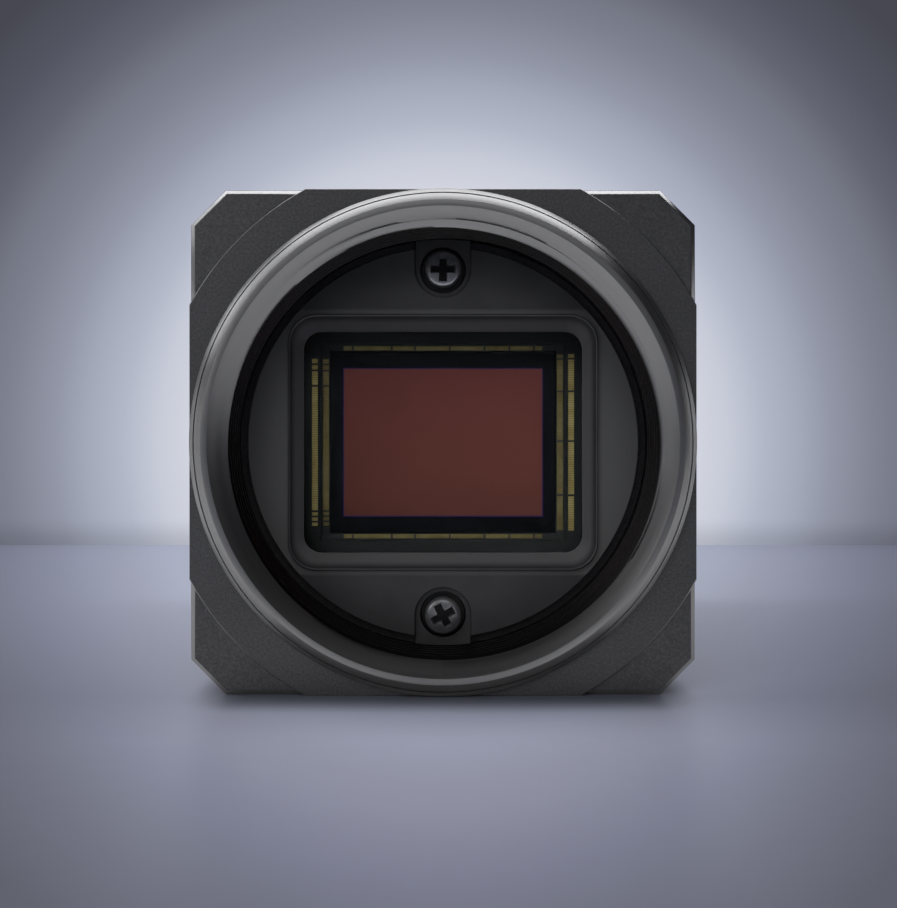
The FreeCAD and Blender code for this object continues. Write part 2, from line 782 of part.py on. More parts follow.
def tie_screw_sink(x, z):
    """Cone of a countersunk head, flush with the rear cover."""
    depth = tie_screw_head - tie_screw_thread
    return Part.makeCone(tie_screw_thread, tie_screw_head, depth, point(x, back_y - depth, z),
                         depth_axis)


def rear_cover():
    body = bevelled_body(cover_y, back_y)
    plug_y = cover_y - lip_length
    body = body.fuse(cut_square_block(inner_half - lip_fit, inner_reach - lip_fit, plug_y,
                                      cover_y + over))
    pillars = [(side * board_pillar_x, board_pillar_z) for side in (1, -1)]
    for x, z in pillars:
        body = body.fuse(cylinder(board_pillar_radius, interface_board_back, cover_y, x, z))
    # Openings for the jack, the round connector and the light guide
    body = body.cut(block(jack_width + 2 * jack_opening_gap, jack_height + 2 * jack_opening_gap,
                          plug_y - over, back_y + over, 0, jack_z))
    body = body.cut(cylinder(io_barrel_radius + lip_fit, plug_y - over, back_y + over, 0, io_z))
    body = body.cut(cylinder(light_guide_radius + thread_fit, plug_y - over, back_y + over,
                             light_x, light_z))
    # Countersunk holes for the tie screws
    for x, z in four_corners(tie_screw_position, tie_screw_position):
        body = body.cut(cylinder(tie_screw_thread + clearance_fit, cover_y - over, back_y + over,
                                 x, z))
        body = body.cut(tie_screw_sink(x, z))
    # Tapped holes for the lock screws of the network plug, and in the pillars
    for side in (1, -1):
        body = body.cut(cylinder(lock_hole_radius, plug_y - over, back_y + over,
                                 side * lock_hole_spacing / 2, jack_z))
    for x, z in pillars:
        body = body.cut(cylinder(small_screw_thread + thread_fit, interface_board_back - over,
                                 interface_board_back + board_pillar_thread + hole_end_gap, x, z))
    return body


def tie_screws():
    head_y = back_y - (tie_screw_head - tie_screw_thread)
    profile = [(0, back_y), (tie_screw_head, back_y), (tie_screw_thread, head_y),
               (tie_screw_thread, tie_screw_end), (0, tie_screw_end)]
    recess = cross_recess(tie_screw_head, back_y, -1, tie_screw_turn)
    screw = turned(profile).cut(recess)
    return Part.makeCompound([screw.translated(point(x, 0, z))
                              for x, z in four_corners(tie_screw_position, tie_screw_position)])


def light_guide():
    collar_y = cover_y - lip_length
    start = interface_board_back + led_thickness + light_guide_gap
    rod = cylinder(light_guide_radius, start, back_y + light_guide_proud, light_x, light_z)
    return rod.fuse(cylinder(light_collar_radius, collar_y - light_collar_length, collar_y,
                             light_x, light_z))


def status_led():
    return block(led_width, led_height, interface_board_back,
                 interface_board_back + led_thickness, light_x, light_z)


pieces = [lens_mount_ring, front_housing, mask_plate, mask_screws, filter_glass, dust_seal,
          sensor_package, sensor_cover_glass, sensor_die, pixel_array, bond_fingers,
          sensor_board, main_board, interface_board, board_spacers, board_screws,
          sensor_link_connectors, board_link_connectors, processor_chip, memory_chips,
          network_chip, interface_board_screws, jack_shield, jack_body, jack_contacts,
          io_connector_shell, io_connector_insert, io_connector_pins, io_connector_nut,
          main_housing, rear_cover, tie_screws, light_guide, status_led]

os.makedirs("parts", exist_ok=True)
for make in pieces:
    shape = make()
    shape.translate(row_origin)
    shape.exportStep(os.path.join("parts", make.__name__ + ".step"))
    print(make.__name__, len(shape.Solids), shape.isValid(), round(shape.Volume, 3))
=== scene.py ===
import bpy
import bmesh
import json
import math
from mathutils import Matrix, Vector


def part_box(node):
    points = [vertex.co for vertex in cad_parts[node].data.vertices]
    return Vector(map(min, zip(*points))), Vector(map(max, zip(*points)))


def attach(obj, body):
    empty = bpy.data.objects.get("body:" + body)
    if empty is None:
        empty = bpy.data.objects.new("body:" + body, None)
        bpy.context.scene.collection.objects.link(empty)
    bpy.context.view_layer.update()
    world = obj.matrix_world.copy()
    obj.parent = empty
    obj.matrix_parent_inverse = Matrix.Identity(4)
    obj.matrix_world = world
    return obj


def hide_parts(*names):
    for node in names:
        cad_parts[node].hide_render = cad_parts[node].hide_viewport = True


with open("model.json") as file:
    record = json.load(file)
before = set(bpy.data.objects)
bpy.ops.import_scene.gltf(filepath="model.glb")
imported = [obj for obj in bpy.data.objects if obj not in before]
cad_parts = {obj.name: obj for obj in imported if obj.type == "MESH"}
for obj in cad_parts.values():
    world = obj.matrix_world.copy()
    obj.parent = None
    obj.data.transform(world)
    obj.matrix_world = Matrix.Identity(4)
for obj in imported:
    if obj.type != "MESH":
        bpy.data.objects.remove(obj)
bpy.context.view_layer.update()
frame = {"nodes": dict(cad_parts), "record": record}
print("frame loaded:", len(frame["nodes"]), "nodes")

mm = 0.001
slotOf = {part["node"]: part["material_slot"] for part in frame["record"]["subparts"]}
ringLow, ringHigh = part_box("lens_mount_ring")
flangeY = ringLow.y                              # front of the mount ring
axisX = (ringLow.x + ringHigh.x) / 2
axisZ = (ringLow.z + ringHigh.z) / 2             # optical axis


def linear(code):
    # sRGB hex to the linear colour that shaders use
    parts = [int(code[i:i + 2], 16) / 255 for i in (1, 3, 5)]
    return tuple(c / 12.92 if c <= 0.04045 else ((c + 0.055) / 1.055) ** 2.4 for c in parts) + (1.0,)


def perSize(size):
    # texture scale for a pattern whose features are this many millimetres wide
    return 1 / (size * mm)


def addNode(tree, kind, settings=None, links=None):
    node = tree.nodes.new("ShaderNode" + kind)
    for key, value in (settings or {}).items():
        if key == "stops":
            ramp = node.color_ramp.elements
            while len(ramp) < len(value):
                ramp.new(0.5)
            for stop, (place, colour) in zip(ramp, value):
                stop.position = place
                stop.color = linear(colour) if isinstance(colour, str) else (colour,) * 3 + (1.0,)
        elif isinstance(key, str) and hasattr(node, key):
            setattr(node, key, value)
        else:
            node.inputs[key].default_value = value
    for key, source in (links or {}).items():
        tree.links.new(source, node.inputs[key])
    return node


def startMaterial(name):
    material = bpy.data.materials.new(name)
    material.use_nodes = True
    tree = material.node_tree
    tree.nodes.clear()
    place = addNode(tree, "TexCoord").outputs["Object"]
    return material, tree, place


def closeMaterial(tree, shader):
    addNode(tree, "OutputMaterial", links={"Surface": shader})


def withinBox(piece, node):
    # makes the modifiers' result real and keeps it inside the CAD node's box
    low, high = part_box(node)
    graph = bpy.context.evaluated_depsgraph_get()
    mesh = bpy.data.meshes.new_from_object(piece.evaluated_get(graph))
    piece.modifiers.clear()
    for vert in mesh.vertices:
        for axis in range(3):
            vert.co[axis] = min(max(vert.co[axis], low[axis]), high[axis])
    piece.data = mesh


def finishPiece(bm, name, node, material, sharp=35, bevel=0.0):
    # a finished piece stands for its CAD node, with its place in its mesh
    mesh = bpy.data.meshes.new(name)
    bm.to_mesh(mesh)
    bm.free()
    mesh.shade_smooth()
    mesh.set_sharp_from_angle(angle=math.radians(sharp))
    mesh.materials.append(material)
    piece = bpy.data.objects.new(name, mesh)
    bpy.context.scene.collection.objects.link(piece)
    if bevel:
        edge = piece.modifiers.new("softEdges", "BEVEL")
        edge.width = bevel * mm
        edge.segments = 2
        edge.limit_method = "ANGLE"
        edge.angle_limit = math.radians(sharp)
        even = piece.modifiers.new("evenNormals", "WEIGHTED_NORMAL")
        even.mode = "FACE_AREA"
        even.weight = 80
        even.keep_sharp = True
        withinBox(piece, node)
    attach(piece, "root")
    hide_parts(node)
    return piece


def cadShape(node):
    # the CAD node's shape, its loose triangles joined into whole faces
    bm = bmesh.new()
    bm.from_mesh(frame["nodes"][node].data)
    bmesh.ops.remove_doubles(bm, verts=bm.verts, dist=1e-6)
    bmesh.ops.dissolve_limit(bm, angle_limit=math.radians(0.6), verts=bm.verts, edges=bm.edges,
                             use_dissolve_boundaries=False)
    bmesh.ops.recalc_face_normals(bm, faces=bm.faces)
    return bm


def loopTo(bm, edges, radius, depth):
    # carries a round edge loop to a new radius and depth, leaving a band of faces behind
    made = bmesh.ops.extrude_edge_only(bm, edges=edges)["geom"]
    rim = [part for part in made if isinstance(part, bmesh.types.BMEdge)]
    for vert in {v for edge in rim for v in edge.verts}:
        flat = Vector((vert.co.x, 0, vert.co.z)).normalized() * radius * mm
        vert.co = (flat.x, depth * mm, flat.z)
    return rim


def moved(bm, offset):
    bmesh.ops.translate(bm, verts=bm.verts, vec=Vector(offset))
    return bm


def carved(piece, cutter):
    # takes the cutter out of the piece for good
    cut = piece.modifiers.new("cut", "BOOLEAN")
    cut.operation = "DIFFERENCE"
    cut.solver = "EXACT"
    cut.object = cutter
    graph = bpy.context.evaluated_depsgraph_get()
    mesh = bpy.data.meshes.new_from_object(piece.evaluated_get(graph))
    piece.modifiers.remove(cut)
    piece.data = mesh
    bpy.data.objects.remove(cutter)
    return piece


def beadBlastedAnodised():
    # bead-blasted aluminium, black anodised: fine even grain, soft sheen, slightly mottled black
    material, tree, place = startMaterial("beadBlastedAnodised")
    # blasting leaves pits of about 0.05 mm; drawn at 0.13 mm so that they show
    grain = addNode(tree, "TexNoise", {"Scale": perSize(0.13), "Detail": 3.0, "Roughness": 0.65},
                    {"Vector": place})
    mottle = addNode(tree, "TexNoise", {"Scale": perSize(4.0), "Detail": 4.0, "Roughness": 0.6},
                     {"Vector": place})
    shade = addNode(tree, "ValToRGB", {"stops": ((0.3, "#47474a"), (0.72, "#4e4e51"))},
                    {"Fac": mottle.outputs["Fac"]})
    specks = addNode(tree, "ValToRGB", {"stops": ((0.4, 0.76), (0.68, 1.24))},
                     {"Fac": grain.outputs["Fac"]})
    colour = addNode(tree, "MixRGB", {"blend_type": "MULTIPLY", "Fac": 1.0},
                     {"Color1": shade.outputs["Color"], "Color2": specks.outputs["Color"]})
    gloss = addNode(tree, "MapRange", {"From Min": 0.3, "From Max": 0.7, "To Min": 0.45, "To Max": 0.49},
                    {"Value": mottle.outputs["Fac"]})
    bump = addNode(tree, "Bump", {"Strength": 0.4, "Distance": 0.02 * mm},
                   {"Height": grain.outputs["Fac"]})
    # slanted edges round the front are cut after blasting, so they are smoother and brighter
    outward = tree.nodes["Texture Coordinate"].outputs["Normal"]
    faces = addNode(tree, "SeparateXYZ", links={"Vector": outward})
    tilt = addNode(tree, "Math", {"operation": "ABSOLUTE"}, {0: faces.outputs["Y"]})
    cut = addNode(tree, "ValToRGB", {"stops": ((0.3, 0.0), (0.5, 1.0), (0.85, 1.0), (0.96, 0.0))},
                  {"Fac": tilt.outputs["Value"]})
    tone = addNode(tree, "MixRGB", {"Color2": linear("#7e7e80")},
                   {"Fac": cut.outputs["Color"], "Color1": colour.outputs["Color"]})
    metal = addNode(tree, "MapRange", {"To Min": 0.55, "To Max": 1.0}, {"Value": cut.outputs["Color"]})
    polish = addNode(tree, "MixRGB", {"Color2": (0.3, 0.3, 0.3, 1.0)},
                     {"Fac": cut.outputs["Color"], "Color1": gloss.outputs["Result"]})
    shader = addNode(tree, "BsdfPrincipled", links={
        "Base Color": tone.outputs["Color"], "Metallic": metal.outputs["Result"],
        "Roughness": polish.outputs["Color"], "Normal": bump.outputs["Normal"]})
    closeMaterial(tree, shader.outputs["BSDF"])
    return material


def turnedAnodised():
    # turned aluminium, black anodised to a satin: concentric tool marks that streak the highlights
    material, tree, place = startMaterial("turnedAnodised")
    centred = addNode(tree, "Mapping", {"Location": (-axisX, -flangeY, -axisZ)}, {"Vector": place})
    split = addNode(tree, "SeparateXYZ", links={"Vector": centred.outputs["Vector"]})
    square = addNode(tree, "Math", {"operation": "MULTIPLY"},
                     {0: split.outputs["X"], 1: split.outputs["X"]})
    reach = addNode(tree, "Math", {"operation": "MULTIPLY_ADD"},
                    {0: split.outputs["Z"], 1: split.outputs["Z"], 2: square.outputs["Value"]})
    radius = addNode(tree, "Math", {"operation": "SQRT"}, {0: reach.outputs["Value"]})
    angle = addNode(tree, "Math", {"operation": "ARCTAN2"},
                    {0: split.outputs["X"], 1: split.outputs["Z"]})
    # along the cut: 1 rad of turning stands for 0.6 mm, so marks run far round the ring
    sweep = addNode(tree, "Math", {"operation": "MULTIPLY", 1: 0.6 * mm}, {0: angle.outputs["Value"]})
    along = addNode(tree, "CombineXYZ", links={"X": radius.outputs["Value"], "Y": split.outputs["Y"],
                                              "Z": sweep.outputs["Value"]})
    # feed of the tool is about 0.05 mm a turn; drawn at 0.1 mm
    marks = addNode(tree, "TexNoise", {"Scale": perSize(0.1), "Detail": 1.0, "Roughness": 0.5},
                    {"Vector": along.outputs["Vector"]})
    cloud = addNode(tree, "TexNoise", {"Scale": perSize(0.7), "Detail": 2.0, "Roughness": 0.5},
                    {"Vector": along.outputs["Vector"]})
    shade = addNode(tree, "ValToRGB", {"stops": ((0.3, "#7e7e80"), (0.7, "#888889"))},
                    {"Fac": cloud.outputs["Fac"]})
    # painted shade: the thread and everything deeper in the bore are painted almost black, for the dark
    # bore that the flanks reflect
    paintedBoreShade = addNode(tree, "MapRange", {"From Min": 0.93 * mm, "From Max": 1.05 * mm, "To Min": 1.0,
                                      "To Max": 0.05}, {"Value": split.outputs["Y"]})
    inner = addNode(tree, "MixRGB", {"blend_type": "MULTIPLY", "Fac": 1.0},
                    {"Color1": shade.outputs["Color"], "Color2": paintedBoreShade.outputs["Result"]})
    gloss = addNode(tree, "MapRange", {"From Min": 0.3, "From Max": 0.7, "To Min": 0.32, "To Max": 0.39},
                    {"Value": cloud.outputs["Fac"]})
    bump = addNode(tree, "Bump", {"Strength": 0.1, "Distance": 0.004 * mm},
                   {"Height": marks.outputs["Fac"]})
    # the marks run round the axis, so highlights spread outwards from it
    outwards = addNode(tree, "CombineXYZ", links={"X": split.outputs["X"], "Z": split.outputs["Z"]})
    spread = addNode(tree, "VectorMath", {"operation": "NORMALIZE"}, {0: outwards.outputs["Vector"]})
    shader = addNode(tree, "BsdfPrincipled", {"Metallic": 1.0, "Anisotropic": 0.3},
                     {"Base Color": inner.outputs["Color"], "Roughness": gloss.outputs["Result"],
                      "Normal": bump.outputs["Normal"], "Tangent": spread.outputs["Vector"]})
    closeMaterial(tree, shader.outputs["BSDF"])
    return material


def mouldedBlackPlastic(name, low, high, grainSize, rough):
    # glass-filled black plastic, moulded: even satin with a faint flow pattern
    material, tree, place = startMaterial(name)
    flow = addNode(tree, "TexNoise", {"Scale": perSize(2.5), "Detail": 3.0, "Distortion": 0.6},
                   {"Vector": place})
    grain = addNode(tree, "TexNoise", {"Scale": perSize(grainSize), "Detail": 2.0}, {"Vector": place})
    colour = addNode(tree, "ValToRGB", {"stops": ((0.35, low), (0.65, high))},
                     {"Fac": flow.outputs["Fac"]})
    gloss = addNode(tree, "MapRange", {"From Min": 0.35, "From Max": 0.65, "To Min": rough - 0.04,
                                       "To Max": rough + 0.05}, {"Value": flow.outputs["Fac"]})
    bump = addNode(tree, "Bump", {"Strength": 0.15, "Distance": 0.008 * mm},
                   {"Height": grain.outputs["Fac"]})
    shader = addNode(tree, "BsdfPrincipled", {"Metallic": 0.0, "IOR": 1.5},
                     {"Base Color": colour.outputs["Color"], "Roughness": gloss.outputs["Result"],
                      "Normal": bump.outputs["Normal"]})
    closeMaterial(tree, shader.outputs["BSDF"])
    return material


maskZone = {                     # depths behind the flange and a half height, mm
    "slopeFrom": 8.5, "slopeTo": 8.9, "lipFrom": 9.52, "lipTo": 9.58,
    "frameEdge": 8.5, "frameInside": 8.3,
}


def mouldedMask():
    # glass-filled black nylon, moulded with a fine even texture; its slopes are painted paler as painted
    # light, with a painted highlight at the lip and painted shade in the moats
    material, tree, place = startMaterial("mouldedMask")
    centred = addNode(tree, "Mapping", {"Location": (-axisX, -flangeY, -axisZ)}, {"Vector": place})
    split = addNode(tree, "SeparateXYZ", links={"Vector": centred.outputs["Vector"]})
    deep = addNode(tree, "MapRange", {"From Min": maskZone["slopeFrom"] * mm,
                                       "From Max": maskZone["slopeTo"] * mm},
                   {"Value": split.outputs["Y"]})
    height = addNode(tree, "Math", {"operation": "ABSOLUTE"}, {0: split.outputs["Z"]})
    inside = addNode(tree, "MapRange", {"From Min": maskZone["frameEdge"] * mm,
                                         "From Max": maskZone["frameInside"] * mm},
                     {"Value": height.outputs["Value"]})
    slope = addNode(tree, "Math", {"operation": "MULTIPLY"},
                    {0: deep.outputs["Result"], 1: inside.outputs["Result"]})
    flow = addNode(tree, "TexNoise", {"Scale": perSize(2.5), "Detail": 3.0, "Distortion": 0.6},
                   {"Vector": place})
    grain = addNode(tree, "TexNoise", {"Scale": perSize(0.14), "Detail": 2.0}, {"Vector": place})
    skin = addNode(tree, "ValToRGB", {"stops": ((0.35, "#2e2e30"), (0.65, "#353537"))},
                   {"Fac": flow.outputs["Fac"]})
    # painted light: the frame's slopes are painted paler than the rest, for light they don't catch in the
    # well
    slopePaintedLight = addNode(tree, "MixRGB", {"Color2": linear("#5c5c5d")},
                     {"Fac": slope.outputs["Value"], "Color1": skin.outputs["Color"]})
    # painted highlight: a thin pale line is painted where the slope meets the glass
    lip = addNode(tree, "MapRange", {"From Min": maskZone["lipFrom"] * mm,
                                      "From Max": maskZone["lipTo"] * mm},
                  {"Value": split.outputs["Y"]})
    lipOnly = addNode(tree, "Math", {"operation": "MULTIPLY"},
                      {0: lip.outputs["Result"], 1: inside.outputs["Result"]})
    lipPaintedHighlight = addNode(tree, "MixRGB", {"Color2": linear("#c9bfc2")},
                     {"Fac": lipOnly.outputs["Value"], "Color1": slopePaintedLight.outputs["Color"]})
    # painted shade: the moats round the screws, and all else outside the frame deeper than the lip, are
    # painted near black
    outside = addNode(tree, "Math", {"operation": "SUBTRACT", 0: 1.0}, {1: inside.outputs["Result"]})
    moatPaintedShade = addNode(tree, "Math", {"operation": "MULTIPLY"},
                   {0: lip.outputs["Result"], 1: outside.outputs["Value"]})
    colour = addNode(tree, "MixRGB", {"Color2": linear("#0c0c0d")},
                     {"Fac": moatPaintedShade.outputs["Value"], "Color1": lipPaintedHighlight.outputs["Color"]})
    bump = addNode(tree, "Bump", {"Strength": 0.15, "Distance": 0.008 * mm},
                   {"Height": grain.outputs["Fac"]})
    shader = addNode(tree, "BsdfPrincipled", {"Roughness": 0.42, "IOR": 1.5},
                     {"Base Color": colour.outputs["Color"], "Normal": bump.outputs["Normal"]})
    closeMaterial(tree, shader.outputs["BSDF"])
    return material


def platedMetal(name, low, high, patchSize, rough):
    # plated or turned bright metal: faint patches and fine handling marks
    material, tree, place = startMaterial(name)
    patch = addNode(tree, "TexNoise", {"Scale": perSize(patchSize), "Detail": 4.0, "Roughness": 0.6},
                    {"Vector": place})
    fine = addNode(tree, "TexNoise", {"Scale": perSize(patchSize / 9), "Detail": 2.0},
                   {"Vector": place})
    colour = addNode(tree, "ValToRGB", {"stops": ((0.3, low), (0.7, high))},
                     {"Fac": patch.outputs["Fac"]})
    gloss = addNode(tree, "MapRange", {"From Min": 0.3, "From Max": 0.7, "To Min": rough - 0.05,
                                       "To Max": rough + 0.07}, {"Value": patch.outputs["Fac"]})
    bump = addNode(tree, "Bump", {"Strength": 0.2, "Distance": 0.004 * mm},
                   {"Height": fine.outputs["Fac"]})
    shader = addNode(tree, "BsdfPrincipled", {"Metallic": 1.0},
                     {"Base Color": colour.outputs["Color"], "Roughness": gloss.outputs["Result"],
                      "Normal": bump.outputs["Normal"]})
    closeMaterial(tree, shader.outputs["BSDF"])
    return material


def blackZincScrew():
    # steel screw, black zinc passivated: dark flat head, a paler rim, painted shade in the cross
    # the zones are keyed to heads that face the front, so heads facing the back are all rim tone
    material, tree, place = startMaterial("blackZincScrew")
    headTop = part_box("mask_screws")[0].y
    split = addNode(tree, "SeparateXYZ", links={"Vector": place})
    shape = addNode(tree, "NewGeometry")
    facing = addNode(tree, "SeparateXYZ", links={"Vector": shape.outputs["Normal"]})
    flat = addNode(tree, "MapRange", {"From Min": -0.8, "From Max": -0.95}, {"Value": facing.outputs["Y"]})
    # painted shade: front-facing faces more than about 0.1 mm below the head's top, the floor of the cross,
    # are painted near black
    deep = addNode(tree, "MapRange", {"From Min": headTop + 0.1 * mm, "From Max": headTop + 0.25 * mm},
                   {"Value": split.outputs["Y"]})
    patch = addNode(tree, "TexNoise", {"Scale": perSize(0.5), "Detail": 4.0}, {"Vector": place})
    skin = addNode(tree, "ValToRGB", {"stops": ((0.3, "#77777b"), (0.7, "#929297"))},
                   {"Fac": patch.outputs["Fac"]})
    crossPaintedShade = addNode(tree, "MixRGB", {"Color2": linear("#222224")},
                    {"Fac": deep.outputs["Result"], "Color1": skin.outputs["Color"]})
    colour = addNode(tree, "MixRGB", {"Color1": linear("#b4b4b8")},
                     {"Fac": flat.outputs["Result"], "Color2": crossPaintedShade.outputs["Color"]})
    shader = addNode(tree, "BsdfPrincipled", {"Metallic": 0.85, "Roughness": 0.3},
                     {"Base Color": colour.outputs["Color"]})
    closeMaterial(tree, shader.outputs["BSDF"])
    return material


def coatedGlass():
    # polished optical glass with an anti-reflective coating: nearly invisible, a faint violet glint
    material, tree, place = startMaterial("coatedGlass")
    smear = addNode(tree, "TexNoise", {"Scale": perSize(3.0), "Detail": 2.0}, {"Vector": place})
    gloss = addNode(tree, "MapRange", {"To Min": 0.01, "To Max": 0.05}, {"Value": smear.outputs["Fac"]})
    shader = addNode(tree, "BsdfPrincipled", {"Base Color": linear("#f4f7fa"), "IOR": 1.02,
                                              "Transmission Weight": 1.0},
                     {"Roughness": gloss.outputs["Result"]})
    glint = addNode(tree, "BsdfGlossy", {"Color": linear("#8f6fae"), "Roughness": 0.02})
    edgeOn = addNode(tree, "Fresnel", {"IOR": 1.025})
    coat = addNode(tree, "MixShader", links={0: edgeOn.outputs["Fac"], 1: shader.outputs["BSDF"],
                                             2: glint.outputs["BSDF"]})
    # light reaches the sensor through it without a caustic
    clear = addNode(tree, "BsdfTransparent", {"Color": linear("#f2f5f5")})
    path = addNode(tree, "LightPath")
    through = addNode(tree, "Math", {"operation": "MAXIMUM"},
                      {0: path.outputs["Is Shadow Ray"], 1: path.outputs["Is Diffuse Ray"]})
    both = addNode(tree, "MixShader", links={0: through.outputs["Value"], 1: coat.outputs["Shader"],
                                             2: clear.outputs["BSDF"]})
    closeMaterial(tree, both.outputs["Shader"])
    return material


def siliconeRubber():
    # moulded silicone: dead black with a dusty bloom
    material, tree, place = startMaterial("siliconeRubber")
    bloom = addNode(tree, "TexNoise", {"Scale": perSize(1.2), "Detail": 5.0}, {"Vector": place})
    colour = addNode(tree, "ValToRGB", {"stops": ((0.4, "#161617"), (0.75, "#202021"))},
                     {"Fac": bloom.outputs["Fac"]})
    shader = addNode(tree, "BsdfPrincipled", {"Roughness": 0.75, "IOR": 1.41},
                     {"Base Color": colour.outputs["Color"]})
    closeMaterial(tree, shader.outputs["BSDF"])
    return material


def firedAlumina():
    # fired dark alumina: matt olive black with a gritty grain
    material, tree, place = startMaterial("firedAlumina")
    grit = addNode(tree, "TexNoise", {"Scale": perSize(0.2), "Detail": 4.0, "Roughness": 0.7},
                   {"Vector": place})
    colour = addNode(tree, "ValToRGB", {"stops": ((0.3, "#12110e"), (0.7, "#1c1b16"))},
                     {"Fac": grit.outputs["Fac"]})
    bump = addNode(tree, "Bump", {"Strength": 0.2, "Distance": 0.01 * mm},
                   {"Height": grit.outputs["Fac"]})
    shader = addNode(tree, "BsdfPrincipled", {"Roughness": 0.55, "IOR": 1.76, "Specular IOR Level": 0.25},
                     {"Base Color": colour.outputs["Color"], "Normal": bump.outputs["Normal"]})
    closeMaterial(tree, shader.outputs["BSDF"])
    return material


def polishedSilicon():
    # polished silicon under a dark passivation: near black and glossy
    material, tree, place = startMaterial("polishedSilicon")
    film = addNode(tree, "TexNoise", {"Scale": perSize(5.0), "Detail": 2.0}, {"Vector": place})
    colour = addNode(tree, "ValToRGB", {"stops": ((0.35, "#050506"), (0.7, "#0a0a0e"))},
                     {"Fac": film.outputs["Fac"]})
    shader = addNode(tree, "BsdfPrincipled", {"Roughness": 0.4, "IOR": 1.45, "Specular IOR Level": 0.1},
                     {"Base Color": colour.outputs["Color"]})
    closeMaterial(tree, shader.outputs["BSDF"])
    return material


def colourFilterArray():
    # colour filters under micro lenses: a red brown that drifts in tint at random and is painted lighter
    # towards the top, violet at its edges
    low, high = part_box("pixel_array")
    material, tree, place = startMaterial("colourFilterArray")
    shifted = addNode(tree, "Mapping", {"Location": tuple(-(low + high) / 2)}, {"Vector": place})
    split = addNode(tree, "SeparateXYZ", links={"Vector": shifted.outputs["Vector"]})
    # painted light: the colour is painted lighter towards the top, making up for the ring's shadow there
    rise = addNode(tree, "MapRange", {"From Min": -(high.z - low.z) / 2, "From Max": (high.z - low.z) / 2},
                   {"Value": split.outputs["Z"]})
    drift = addNode(tree, "TexNoise", {"Scale": perSize(6.0), "Detail": 2.0}, {"Vector": place})
    blend = addNode(tree, "MapRange", {"From Min": 0.3, "From Max": 0.7, "To Min": -0.12, "To Max": 0.12},
                    {"Value": drift.outputs["Fac"]})
    level = addNode(tree, "Math", {"operation": "ADD"},
                    {0: rise.outputs["Result"], 1: blend.outputs["Result"]})
    tintAndPaintedLight = addNode(tree, "ValToRGB", {"stops": ((0.0, "#9c5649"), (0.5, "#b36051"), (1.0, "#c86a60"))},
                   {"Fac": level.outputs["Value"]})
    # the outermost 0.12 mm has no filter and turns violet
    sides = []
    for axis, half in (("X", (high.x - low.x) / 2), ("Z", (high.z - low.z) / 2)):
        away = addNode(tree, "Math", {"operation": "ABSOLUTE"}, {0: split.outputs[axis]})
        sides.append(addNode(tree, "MapRange", {"From Min": half - 0.12 * mm, "From Max": half - 0.03 * mm},
                             {"Value": away.outputs["Value"]}))
    border = addNode(tree, "Math", {"operation": "MAXIMUM"},
                     {0: sides[0].outputs["Result"], 1: sides[1].outputs["Result"]})
    colour = addNode(tree, "MixRGB", {"Color2": linear("#3a2f7a")},
                     {"Fac": border.outputs["Value"], "Color1": tintAndPaintedLight.outputs["Color"]})
    shader = addNode(tree, "BsdfPrincipled", {"Roughness": 0.45, "IOR": 1.5, "Specular IOR Level": 0.15},
                     {"Base Color": colour.outputs["Color"]})
    closeMaterial(tree, shader.outputs["BSDF"])
    return material


goldZone = {"columnsFrom": 7.8, "platedFrom": 8.58, "fingerPitch": 0.16}   # mm from the axis, and spacing


def bondFingerGold():
    # plated bond fingers: warm gold cut into fine parallel fingers, duller than a polished ring
    material, tree, place = startMaterial("bondFingerGold")
    split = addNode(tree, "SeparateXYZ", links={"Vector": place})
    # fingers stand every 0.16 mm: the side columns are cut across, the rows above and below along
    lines = []
    for axis in ("X", "Z"):
        wave = addNode(tree, "Math", {"operation": "PINGPONG", 1: goldZone["fingerPitch"] / 2 * mm},
                       {0: split.outputs[axis]})
        lines.append(addNode(tree, "MapRange", {"From Max": 0.03 * mm}, {"Value": wave.outputs["Value"]}))
    side = addNode(tree, "Math", {"operation": "ABSOLUTE"}, {0: split.outputs["X"]})
    column = addNode(tree, "MapRange", {"From Min": goldZone["columnsFrom"] * mm,
                                         "From Max": (goldZone["columnsFrom"] + 0.01) * mm},
                     {"Value": side.outputs["Value"]})
    both = addNode(tree, "MixRGB", links={"Fac": column.outputs["Result"],
                                          "Color1": lines[0].outputs["Result"],
                                          "Color2": lines[1].outputs["Result"]})
    wear = addNode(tree, "TexNoise", {"Scale": perSize(0.8), "Detail": 3.0}, {"Vector": place})
    gold = addNode(tree, "ValToRGB", {"stops": ((0.3, "#c2a45e"), (0.7, "#e6cd86"))},
                   {"Fac": wear.outputs["Fac"]})
    colour = addNode(tree, "MixRGB", {"Color1": linear("#8a7748")},
                     {"Fac": both.outputs["Color"], "Color2": gold.outputs["Color"]})
    # the fingers nearer the axis than the outermost columns, rows and inner columns alike, are darker
    dimmerInside = addNode(tree, "MapRange", {"From Min": goldZone["platedFrom"] * mm,
                                         "From Max": (goldZone["platedFrom"] + 0.02) * mm,
                                         "To Min": 0.4, "To Max": 0.9}, {"Value": side.outputs["Value"]})
    faded = addNode(tree, "MixRGB", {"blend_type": "MULTIPLY", "Fac": 1.0},
                    {"Color1": colour.outputs["Color"], "Color2": dimmerInside.outputs["Result"]})
    shader = addNode(tree, "BsdfPrincipled", {"Metallic": 0.8, "Roughness": 0.5},
                     {"Base Color": faded.outputs["Color"]})
    closeMaterial(tree, shader.outputs["BSDF"])
    return material


